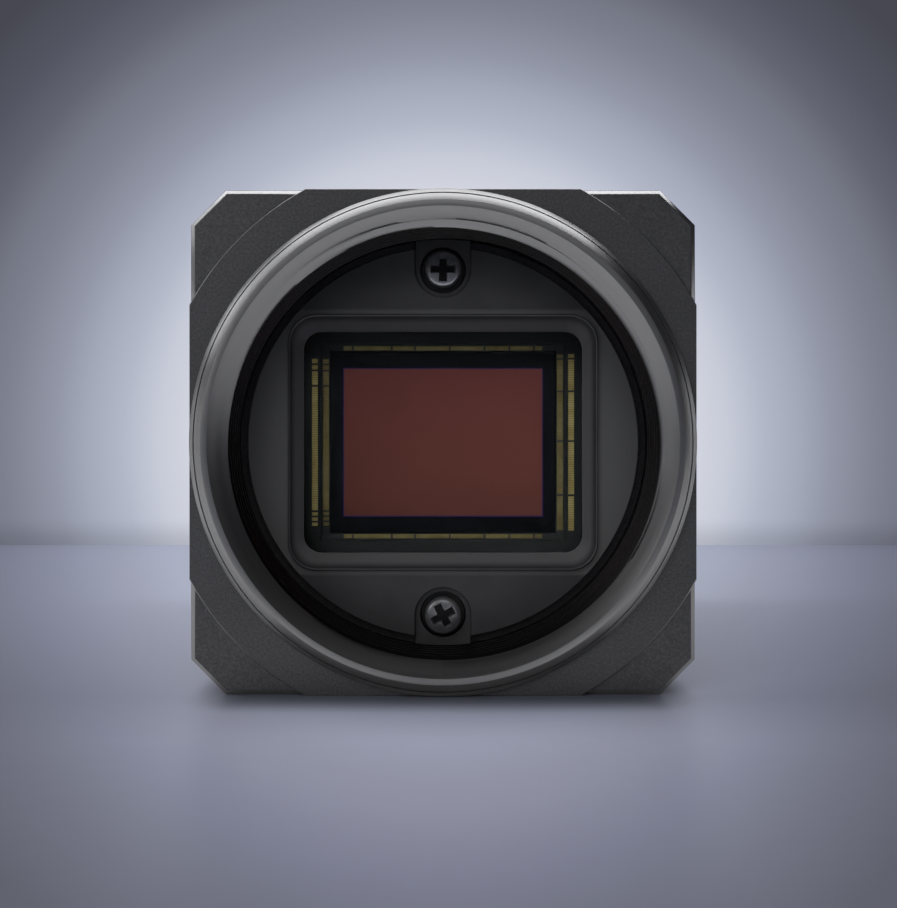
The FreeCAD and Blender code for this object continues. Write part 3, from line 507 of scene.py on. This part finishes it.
def solderMaskBoard():
    # glass-epoxy board under green solder mask: traces show through as lighter lines
    material, tree, place = startMaterial("solderMaskBoard")
    traces = addNode(tree, "TexBrick", {"Scale": perSize(1.0), "Mortar Size": 0.06, "Brick Width": 2.3,
                                        "Row Height": 0.7, "Mortar": linear("#2b8a4c"),
                                        "Color1": linear("#12602f"), "Color2": linear("#0f562a")})
    turned = addNode(tree, "Mapping", {"Rotation": (math.radians(90), 0, 0)}, {"Vector": place})
    tree.links.new(turned.outputs["Vector"], traces.inputs["Vector"])
    weave = addNode(tree, "TexNoise", {"Scale": perSize(0.5), "Detail": 2.0}, {"Vector": place})
    bump = addNode(tree, "Bump", {"Strength": 0.2, "Distance": 0.01 * mm},
                   {"Height": weave.outputs["Fac"]})
    shader = addNode(tree, "BsdfPrincipled", {"Roughness": 0.35, "IOR": 1.5},
                     {"Base Color": traces.outputs["Color"], "Normal": bump.outputs["Normal"]})
    closeMaterial(tree, shader.outputs["BSDF"])
    return material


def clearPolycarbonate():
    # moulded clear polycarbonate: water clear, a little milky at the end face
    material, tree, place = startMaterial("clearPolycarbonate")
    haze = addNode(tree, "TexNoise", {"Scale": perSize(0.4), "Detail": 2.0}, {"Vector": place})
    gloss = addNode(tree, "MapRange", {"To Min": 0.08, "To Max": 0.3}, {"Value": haze.outputs["Fac"]})
    shader = addNode(tree, "BsdfPrincipled", {"Base Color": linear("#e6efe9"), "IOR": 1.585,
                                              "Transmission Weight": 0.75},
                     {"Roughness": gloss.outputs["Result"]})
    closeMaterial(tree, shader.outputs["BSDF"])
    return material


materials = {
    "anodised_housing": beadBlastedAnodised(),
    "anodised_ring": turnedAnodised(),
    "mask_plastic": mouldedMask(),
    "blackened_screw": blackZincScrew(),
    "filter_glass": coatedGlass(),
    "seal_rubber": siliconeRubber(),
    "package_ceramic": firedAlumina(),
    "die_silicon": polishedSilicon(),
    "pixel_filters": colourFilterArray(),
    "gold_plating": platedMetal("hardGold", "#c9a24e", "#e0bd68", 0.6, 0.28),
    "circuit_board": solderMaskBoard(),
    "chip_epoxy": mouldedBlackPlastic("mouldedEpoxy", "#19191b", "#222224", 0.1, 0.6),
    "connector_plastic": mouldedBlackPlastic("connectorPolyamide", "#1a1a1c", "#242426", 0.12, 0.5),
    "spacer_brass": platedMetal("turnedBrass", "#b08d4c", "#c8a560", 0.8, 0.3),
    "steel_screw": platedMetal("zincPlatedSteel", "#9c9ea1", "#b9bbbe", 0.5, 0.32),
    "nickel_shield": platedMetal("nickelPlatedSheet", "#b5b1a8", "#cfcbc2", 1.6, 0.26),
    "nickel_barrel": platedMetal("satinNickel", "#a8a59d", "#c2bfb6", 0.9, 0.33),
    "clear_guide": clearPolycarbonate(),
    "led_body": mouldedBlackPlastic("ledResin", "#d8d8c4", "#e6e6d6", 0.2, 0.4),
}
fingerGold = bondFingerGold()
print("materials made:", len(materials) + 1)

for name, node in frame["nodes"].items():
    node.data.materials.clear()
    node.data.materials.append(fingerGold if name == "bond_fingers" else materials[slotOf[name]])

ring = {
    "pitch": 25.4 / 32,
    "rootRadius": 12.7,          # outside of the thread
    "crestRadius": 12.27,
    "turns": 8,                  # more than fit; both ends are trimmed
    "steps": 240,
    "mouthRadius": 12.84, "mouthDepth": 0.46,
    "threadStart": 0.96,
    "profile": ((13.35, 0.0), (13.7, 0.0), (14.14, 0.38)),
    "groove": ((14.165, 0.45), (14.2, 0.39)),
    "outside": ((14.45, 0.63), (14.45, 1.0), (13.6, 1.0)),
    "backBand": 13.0,
    "spigotRadius": 13.6,
    "edge": 0.03,
}


def threadLine(bm):
    # one side view of the thread: flat root, flank, flat crest, flank, for each turn
    share = (0.0, 0.125, 0.229, 0.333, 0.4375, 0.5625, 0.6875, 0.792, 0.896)
    rise = (0.0, 0.0, 1 / 3, 2 / 3, 1.0, 1.0, 1.0, 2 / 3, 1 / 3)
    last = None
    for turn in range(ring["turns"]):
        for step, height in zip(share, rise):
            radius = ring["rootRadius"] + height * (ring["crestRadius"] - ring["rootRadius"])
            depth = (turn - 1 + step) * ring["pitch"]
            vert = bm.verts.new((radius * mm, depth * mm, 0))
            if last:
                bm.edges.new((last, vert))
            last = vert


def openEdges(bm, low, high):
    # open edges whose middle lies between two depths
    return [edge for edge in bm.edges if edge.is_boundary
            and low * mm < (edge.verts[0].co.y + edge.verts[1].co.y) / 2 < high * mm]


def mountRing():
    depth = (ringHigh.y - ringLow.y) / mm
    bm = bmesh.new()
    threadLine(bm)
    bmesh.ops.spin(bm, geom=bm.verts[:] + bm.edges[:], cent=(0, 0, 0), axis=(0, 1, 0),
                   dvec=(0, ring["pitch"] * mm / ring["steps"], 0), angle=math.radians(360),
                   steps=ring["steps"], use_merge=False, use_duplicate=False)
    bmesh.ops.remove_doubles(bm, verts=bm.verts, dist=2e-6)
    # the lead-in cone takes the tops off the first threads
    slope = (ring["mouthRadius"] - ring["crestRadius"]) / (ring["threadStart"] - ring["mouthDepth"])
    for vert in bm.verts:
        cone = (ring["crestRadius"] + slope * (ring["threadStart"] - vert.co.y / mm)) * mm
        radius = math.hypot(vert.co.x, vert.co.z)
        if radius < cone:
            vert.co.x *= cone / radius
            vert.co.z *= cone / radius
    for level, front in ((ring["mouthDepth"], True), (depth, False)):
        bmesh.ops.bisect_plane(bm, geom=bm.verts[:] + bm.edges[:] + bm.faces[:], dist=1e-7,
                               plane_co=(0, level * mm, 0), plane_no=(0, 1, 0),
                               clear_inner=front, clear_outer=not front)
    rim = openEdges(bm, ring["mouthDepth"] - 0.01, ring["mouthDepth"] + 0.01)
    rounded = list(rim)
    for radius, level in ring["profile"]:
        rim = loopTo(bm, rim, radius, level)
        rounded += rim
    for radius, level in ring["groove"]:
        rim = loopTo(bm, rim, radius, level)
    for radius, level in ring["outside"]:
        rim = loopTo(bm, rim, radius, level)
        rounded += rim
    back = openEdges(bm, depth - 0.01, depth + 0.01)
    back = loopTo(bm, back, ring["backBand"], depth)
    back = loopTo(bm, back, ring["spigotRadius"], depth)
    bmesh.ops.bridge_loops(bm, edges=rim + back)
    bmesh.ops.recalc_face_normals(bm, faces=bm.faces)
    bmesh.ops.bevel(bm, geom=[edge for edge in rounded if edge.is_valid], offset=ring["edge"] * mm,
                    offset_type="OFFSET", segments=2, profile=0.5, affect="EDGES", material=-1,
                    clamp_overlap=True)
    return moved(bm, (axisX, flangeY, axisZ))


finishPiece(mountRing(), "mountRing", "lens_mount_ring", materials["anodised_ring"], sharp=40)
print("mount ring made")

softened = {                     # node: piece name, edge rounding in mm
    "front_housing": ("frontHousing", 0.05),
    "main_housing": ("mainHousing", 0.05),
    "rear_cover": ("rearCover", 0.05),
    "mask_plate": ("maskPlate", 0.06),
    "sensor_package": ("sensorPackage", 0.03),
    "dust_seal": ("dustSeal", 0.1),
    "jack_shield": ("jackShield", 0.05),
    "jack_body": ("jackBody", 0.08),
    "io_connector_nut": ("connectorNut", 0.1),
    "processor_chip": ("processorChip", 0.08),
    "memory_chips": ("memoryChips", 0.08),
    "network_chip": ("networkChip", 0.08),
    "sensor_link_connectors": ("sensorLinks", 0.1),
    "board_link_connectors": ("boardLinks", 0.1),
    "board_spacers": ("boardSpacers", 0.08),
    "io_connector_shell": ("connectorShell", 0.08),
    "io_connector_insert": ("connectorInsert", 0.08),
    "io_connector_pins": ("connectorPins", 0.12),
    "jack_contacts": ("jackContacts", 0.05),
    "light_guide": ("lightGuide", 0.1),
    "status_led": ("statusLamp", 0.08),
}

for node, (pieceName, edgeSize) in softened.items():
    if node != "mask_plate":     # cut further below
        finishPiece(cadShape(node), pieceName, node, materials[slotOf[node]], bevel=edgeSize)
print("machined and moulded pieces made:", len(softened))

maskScrew = {
    "headRadius": 1.17, "headHeight": 0.75, "shankRadius": 0.7, "length": 2.8,
    "crossReach": 0.84, "crossWidth": 0.54, "crossDepth": 0.5, "turns": (0.0, 28.0),
    "moatRadius": 1.46, "moatDepth": 0.5,
}


def spunForm(points, steps=56):
    # a turned form about the Y axis from (radius, depth) points in mm
    bm = bmesh.new()
    verts = [bm.verts.new((radius * mm, depth * mm, 0)) for radius, depth in points]
    edges = [bm.edges.new(pair) for pair in zip(verts, verts[1:])]
    bmesh.ops.spin(bm, geom=verts + edges, cent=(0, 0, 0), axis=(0, 1, 0), angle=math.radians(360),
                   steps=steps, use_merge=True, use_duplicate=False)
    bmesh.ops.remove_doubles(bm, verts=bm.verts, dist=1e-7)
    bmesh.ops.recalc_face_normals(bm, faces=bm.faces)
    return bm


def crossCutter(reach, width, depth, turn):
    # a cross with tapered arms, from just above the head down into it, along +Y
    bm = bmesh.new()
    bmesh.ops.create_grid(bm, x_segments=3, y_segments=3, size=1.0)
    for vert in bm.verts:
        for axis in (0, 1):
            inner = abs(vert.co[axis]) < 0.5
            vert.co[axis] = math.copysign(width / 2 if inner else reach, vert.co[axis]) * mm
    corners = [face for face in bm.faces
               if min(abs(face.calc_center_median().x), abs(face.calc_center_median().y)) > width / 2 * mm]
    bmesh.ops.delete(bm, geom=corners, context="FACES")
    bmesh.ops.translate(bm, verts=bm.verts, vec=(0, 0, 0.2 * mm))
    made = bmesh.ops.extrude_face_region(bm, geom=bm.faces[:])["geom"]
    lower = [part for part in made if isinstance(part, bmesh.types.BMVert)]
    for vert in lower:
        vert.co = (vert.co.x * 0.82, vert.co.y * 0.82, -depth * mm)
    bmesh.ops.rotate(bm, verts=bm.verts, cent=(0, 0, 0),
                     matrix=Matrix.Rotation(math.radians(turn), 3, "Z"))
    # Z of the grid becomes -Y, so that the cross faces the front
    bmesh.ops.rotate(bm, verts=bm.verts, cent=(0, 0, 0), matrix=Matrix.Rotation(math.radians(90), 3, "X"))
    bmesh.ops.recalc_face_normals(bm, faces=bm.faces)
    return bm


def looseObject(bm, name):
    mesh = bpy.data.meshes.new(name)
    bm.to_mesh(mesh)
    bm.free()
    item = bpy.data.objects.new(name, mesh)
    bpy.context.scene.collection.objects.link(item)
    return item


def mergeInto(bm, item, offset):
    # adds a carved object's mesh to the bmesh at its place, and drops the object
    part = bmesh.new()
    part.from_mesh(item.data)
    bmesh.ops.translate(part, verts=part.verts, vec=Vector(offset))
    mesh = bpy.data.meshes.new("part")
    part.to_mesh(mesh)
    part.free()
    bm.from_mesh(mesh)
    bpy.data.objects.remove(item)


def maskScrews():
    low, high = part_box("mask_screws")
    head, tall = maskScrew["headRadius"], maskScrew["headHeight"]
    outline = ((0, 0), (0.79 * head, 0), (0.86 * head, 0.03), (0.92 * head, 0.08), (0.97 * head, 0.17),
               (head, 0.3), (head, tall - 0.08), (head - 0.06, tall), (maskScrew["shankRadius"], tall),
               (maskScrew["shankRadius"], tall + maskScrew["length"]), (0, tall + maskScrew["length"]))
    bm = bmesh.new()
    for height, turn in zip((high.z - head * mm, low.z + head * mm), maskScrew["turns"]):
        screw = looseObject(spunForm(outline), "screwBlank")
        cutter = looseObject(crossCutter(maskScrew["crossReach"], maskScrew["crossWidth"],
                                         maskScrew["crossDepth"], turn), "crossCutter")
        carved(screw, cutter)
        mergeInto(bm, screw, (axisX, low.y, height))
    return bm


finishPiece(maskScrews(), "maskScrews", "mask_screws", materials["blackened_screw"], sharp=30)


def maskPlate():
    # the moulded mask with a round moat sunk about each screw head
    low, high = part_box("mask_screws")
    head, seat = maskScrew["headRadius"], low.y / mm + maskScrew["headHeight"]
    plate = looseObject(cadShape("mask_plate"), "plateBlank")
    for height in (high.z - head * mm, low.z + head * mm):
        moat = ((head - 0.1, seat - 0.3), (maskScrew["moatRadius"], seat - 0.3),
                (maskScrew["moatRadius"] - 0.04, seat + maskScrew["moatDepth"]),
                (head - 0.1, seat + maskScrew["moatDepth"]), (head - 0.1, seat - 0.3))
        cutter = looseObject(moved(spunForm(moat, 48), (axisX, 0, height)), "moatCutter")
        carved(plate, cutter)
    bm = bmesh.new()
    bm.from_mesh(plate.data)
    bpy.data.objects.remove(plate)
    return bm


finishPiece(maskPlate(), "maskPlate", "mask_plate", materials["mask_plastic"],
            bevel=softened["mask_plate"][1])

tieScrew = {
    "headRadius": 1.85, "shankRadius": 1.0, "sink": 0.85, "length": 28.0,
    "crossReach": 1.15, "crossWidth": 0.55, "crossDepth": 0.45, "turn": 15.0,
}


def tieScrews():
    low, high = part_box("tie_screws")
    head = tieScrew["headRadius"]
    outline = ((0, 0), (head - 0.08, 0), (head, 0.05), (tieScrew["shankRadius"], tieScrew["sink"]),
               (tieScrew["shankRadius"], tieScrew["length"] - 0.2),
               (tieScrew["shankRadius"] - 0.2, tieScrew["length"]), (0, tieScrew["length"]))
    bm = bmesh.new()
    for x in (low.x + head * mm, high.x - head * mm):
        for z in (low.z + head * mm, high.z - head * mm):
            screw = looseObject(spunForm(outline, 48), "screwBlank")
            cutter = looseObject(crossCutter(tieScrew["crossReach"], tieScrew["crossWidth"],
                                             tieScrew["crossDepth"], tieScrew["turn"]), "crossCutter")
            carved(screw, cutter)
            # made facing the front, turned to face the back
            screw.data.transform(Matrix.Rotation(math.radians(180), 4, "Z"))
            mergeInto(bm, screw, (x, high.y, z))
    return bm


finishPiece(tieScrews(), "tieScrews", "tie_screws", materials["blackened_screw"], sharp=30)
print("screws made")

studio = {
    "floorFront": -700.0, "wallBehind": 105.0,   # mm from the flange
    "halfWidth": 600.0, "wallHeight": 600.0,
    "lensLength": 49.24, "cameraDistance": 70.0,
    "shiftX": 5.5 / 908, "shiftY": -11.7 / 908,
    "lightPoolRadius": 85.5, "footShadeHeight": 4.2, "footHalfWidth": 11.0, "footFade": 4.0,
    "floorLightPool": ((0.1, "#a8acc0"), (0.24, "#a0a5b9"), (0.275, "#979aac"), (0.3, "#9194a7"),
                   (0.325, "#888b9e"), (0.36, "#7d8093"), (0.39, "#757887"), (0.42, "#6e707f"),
                   (0.45, "#686a78"), (0.5, "#5d5f6b")),
}


def paleBackdrop():
    # pale blue grey backdrop with a painted pool of light: lighter behind the object and darker towards its
    # edges
    material, tree, place = startMaterial("paleBackdrop")
    centred = addNode(tree, "Mapping", {"Location": (-axisX, 0, -axisZ)}, {"Vector": place})
    split = addNode(tree, "SeparateXYZ", links={"Vector": centred.outputs["Vector"]})
    flat = addNode(tree, "CombineXYZ", links={"X": split.outputs["X"], "Y": split.outputs["Z"]})
    away = addNode(tree, "VectorMath", {"operation": "LENGTH"}, {0: flat.outputs["Vector"]})
    share = addNode(tree, "MapRange", {"From Max": studio["lightPoolRadius"] * mm},
                    {"Value": away.outputs["Value"]})
    # painted light: a pool of light is painted round the object's axis
    paintedLightPool = addNode(tree, "ValToRGB", {"stops": (
        (0.0, "#d8dae4"), (0.41, "#d3d6e0"), (0.47, "#c7cbd8"), (0.53, "#b2b7c8"), (0.59, "#a3a8b9"),
        (0.64, "#9296a6"), (0.71, "#808493"), (0.77, "#757885"), (0.83, "#636672"), (0.9, "#545763"),
        (1.0, "#474851"))}, {"Fac": share.outputs["Result"]})
    # painted shade: the wall's lowest few millimetres, where it meets the floor, are painted darker
    footPaintedShade = addNode(tree, "MapRange", {"interpolation_type": "SMOOTHSTEP", "From Min": -axisZ,
                                      "From Max": -axisZ + studio["footShadeHeight"] * mm,
                                      "To Min": 0.76, "To Max": 1.0}, {"Value": split.outputs["Z"]})
    colour = addNode(tree, "MixRGB", {"blend_type": "MULTIPLY", "Fac": 1.0},
                     {"Color1": paintedLightPool.outputs["Color"], "Color2": footPaintedShade.outputs["Result"]})
    shader = addNode(tree, "BsdfPrincipled", {"Roughness": 0.6},
                     {"Base Color": colour.outputs["Color"]})
    glow = addNode(tree, "Emission", {"Strength": 1.0}, {"Color": colour.outputs["Color"]})
    path = addNode(tree, "LightPath")
    seen = addNode(tree, "Math", {"operation": "ADD", "use_clamp": True},
                   {0: path.outputs["Is Camera Ray"], 1: path.outputs["Is Glossy Ray"]})
    seenToo = addNode(tree, "Math", {"operation": "ADD", "use_clamp": True},
                      {0: seen.outputs["Value"], 1: path.outputs["Is Transmission Ray"]})
    both = addNode(tree, "MixShader", links={0: seenToo.outputs["Value"], 1: shader.outputs["BSDF"],
                                             2: glow.outputs["Emission"]})
    closeMaterial(tree, both.outputs["Shader"])
    return material


def paleFloor():
    # pale satin table top: keeps the shadow, with a painted pool of light paler round the object than in
    # front, a painted reflection and a painted contact shadow
    material, tree, place = startMaterial("paleFloor")
    centred = addNode(tree, "Mapping", {"Location": (-axisX, studio["cameraDistance"] * mm - flangeY, 0)},
                      {"Vector": place})
    split = addNode(tree, "SeparateXYZ", links={"Vector": centred.outputs["Vector"]})
    flat = addNode(tree, "CombineXYZ", {"Y": axisZ}, {"X": split.outputs["X"]})
    reach = addNode(tree, "VectorMath", {"operation": "LENGTH"}, {0: flat.outputs["Vector"]})
    share = addNode(tree, "Math", {"operation": "DIVIDE"},
                    {0: reach.outputs["Value"], 1: split.outputs["Y"]})
    grain = addNode(tree, "TexNoise", {"Scale": perSize(1.5), "Detail": 3.0}, {"Vector": place})
    speck = addNode(tree, "MapRange", {"To Min": -0.006, "To Max": 0.006}, {"Value": grain.outputs["Fac"]})
    mixed = addNode(tree, "Math", {"operation": "ADD"},
                    {0: share.outputs["Value"], 1: speck.outputs["Result"]})
    # painted light: the floor colour is a painted pool of light, paler round the object and darker towards
    # the front corners
    colour = addNode(tree, "ValToRGB", {"stops": studio["floorLightPool"]}, {"Fac": mixed.outputs["Value"]})
    # painted reflection: to glossy rays the floor is painted near white, fading out towards the camera, so
    # the metal reflects a white table top
    path = addNode(tree, "LightPath")
    close = addNode(tree, "MapRange", {"From Min": 0.02, "From Max": 0.05, "To Min": 0.15, "To Max": 1.0},
                    {"Value": split.outputs["Y"]})
    paintedReflection = addNode(tree, "Math", {"operation": "MULTIPLY"},
                       {0: path.outputs["Is Glossy Ray"], 1: close.outputs["Result"]})
    tone = addNode(tree, "MixRGB", {"Color2": linear("#f8f8fa")},
                   {"Fac": paintedReflection.outputs["Value"], "Color1": colour.outputs["Color"]})
    # painted shadow: the floor is painted darker at the object's foot as a contact shadow; the band has no
    # end behind the object's front
    side = addNode(tree, "Math", {"operation": "ABSOLUTE"}, {0: split.outputs["X"]})
    beside = addNode(tree, "Math", {"operation": "SUBTRACT", 1: studio["footHalfWidth"] * mm,
                                    "use_clamp": True},
                     {0: side.outputs["Value"]})
    ahead = addNode(tree, "Math", {"operation": "SUBTRACT", 0: studio["cameraDistance"] * mm,
                                   "use_clamp": True}, {1: split.outputs["Y"]})
    gap = addNode(tree, "CombineXYZ", links={"X": beside.outputs["Value"], "Y": ahead.outputs["Value"]})
    away = addNode(tree, "VectorMath", {"operation": "LENGTH"}, {0: gap.outputs["Vector"]})
    paintedContactShadow = addNode(tree, "MapRange", {"interpolation_type": "SMOOTHSTEP",
                                         "From Max": studio["footFade"] * mm,
                                         "To Min": 0.35, "To Max": 1.0}, {"Value": away.outputs["Value"]})
    contactShadowed = addNode(tree, "MixRGB", {"blend_type": "MULTIPLY", "Fac": 1.0},
                     {"Color1": tone.outputs["Color"], "Color2": paintedContactShadow.outputs["Result"]})
    shader = addNode(tree, "BsdfPrincipled", {"Roughness": 0.4, "IOR": 1.35},
                     {"Base Color": contactShadowed.outputs["Color"]})
    closeMaterial(tree, shader.outputs["BSDF"])
    return material


def buildStudio():
    wallY = flangeY + studio["wallBehind"] * mm
    half, front = studio["halfWidth"] * mm, studio["floorFront"] * mm
    for name, material in (("studioFloor", paleFloor()), ("studioWall", paleBackdrop())):
        bm = bmesh.new()
        bmesh.ops.create_grid(bm, x_segments=1, y_segments=1, size=1.0)
        for vert in bm.verts:
            if name == "studioFloor":
                vert.co = (vert.co.x * half, front if vert.co.y < 0 else wallY, 0)
            else:
                vert.co = (vert.co.x * half, wallY, 0 if vert.co.y < 0 else studio["wallHeight"] * mm)
        bmesh.ops.recalc_face_normals(bm, faces=bm.faces)
        mesh = bpy.data.meshes.new(name)
        bm.to_mesh(mesh)
        bm.free()
        mesh.materials.append(material)
        sheet = bpy.data.objects.new(name, mesh)
        bpy.context.scene.collection.objects.link(sheet)


lamps = {                        # place of the middle, size, radiance, target; mm
    "overheadSoftbox": ((0, 28, 313), (450, 120), 5.1, (0, 28, 0)),
    "upperLeftSoftbox": ((-239, 10, 195), (80, 170), 3.8, (0, -20, 14)),
    "leftPanel": ((-295, -72, 40), (75, 60), 1.3, (0, -20, 14)),
    "frontPanel": ((0, -292, 141), (140, 140), 1.0, (0, -20, 14)),
    "frontLeftPanel": ((-170, -246, 100), (150, 140), 1.6, (0, -20, 14)),
    "backRightStrip": ((292, 42, 45), (45, 80), 2.6, (0, -20, 14)),
    "backLeftStrip": ((-292, 42, 45), (45, 80), 2.2, (0, -20, 14)),
    "fillPanel": ((-60, -240, 215), (240, 160), 1.8, (0, -20, 14)),
    "axisFill": ((-20, -320, 50), (150, 110), 2.4, (0, -20, 14)),
}
unseenInMetal = ("fillPanel", "axisFill")   # broad fills that leave no highlight of their own


def addLamp(name, place, size, radiance, target):
    lamp = bpy.data.lights.new(name, "AREA")
    lamp.shape = "RECTANGLE"
    lamp.size, lamp.size_y = size[0] * mm, size[1] * mm
    lamp.energy = radiance * math.pi * lamp.size * lamp.size_y
    item = bpy.data.objects.new(name, lamp)
    item.location = Vector(place) * mm
    item.rotation_euler = (Vector(target) - Vector(place)).to_track_quat("-Z", "Y").to_euler()
    item.visible_glossy = name not in unseenInMetal
    bpy.context.scene.collection.objects.link(item)


def setWorld():
    world = bpy.data.worlds.new("studioAir")
    bpy.context.scene.world = world
    world.use_nodes = True
    tree = world.node_tree
    tree.nodes.clear()
    sky = addNode(tree, "Background", {"Color": linear("#c8c8cc"), "Strength": 0.06})
    addNode(tree, "OutputWorld", links={"Surface": sky.outputs["Background"]})


def addCamera():
    data = bpy.data.cameras.new("studioCamera")
    data.lens, data.sensor_width = studio["lensLength"], 36.0
    data.shift_x, data.shift_y = studio["shiftX"], studio["shiftY"]
    data.clip_start, data.clip_end = 0.005, 5.0
    camera = bpy.data.objects.new("studioCamera", data)
    camera.location = (axisX, flangeY - studio["cameraDistance"] * mm, axisZ)
    camera.rotation_euler = (math.radians(90), 0, 0)
    bpy.context.scene.collection.objects.link(camera)
    bpy.context.scene.camera = camera


buildStudio()
for lampName, facts in lamps.items():
    addLamp(lampName, *facts)
setWorld()
addCamera()
bpy.context.scene.view_settings.view_transform = "Standard"
print("studio made")
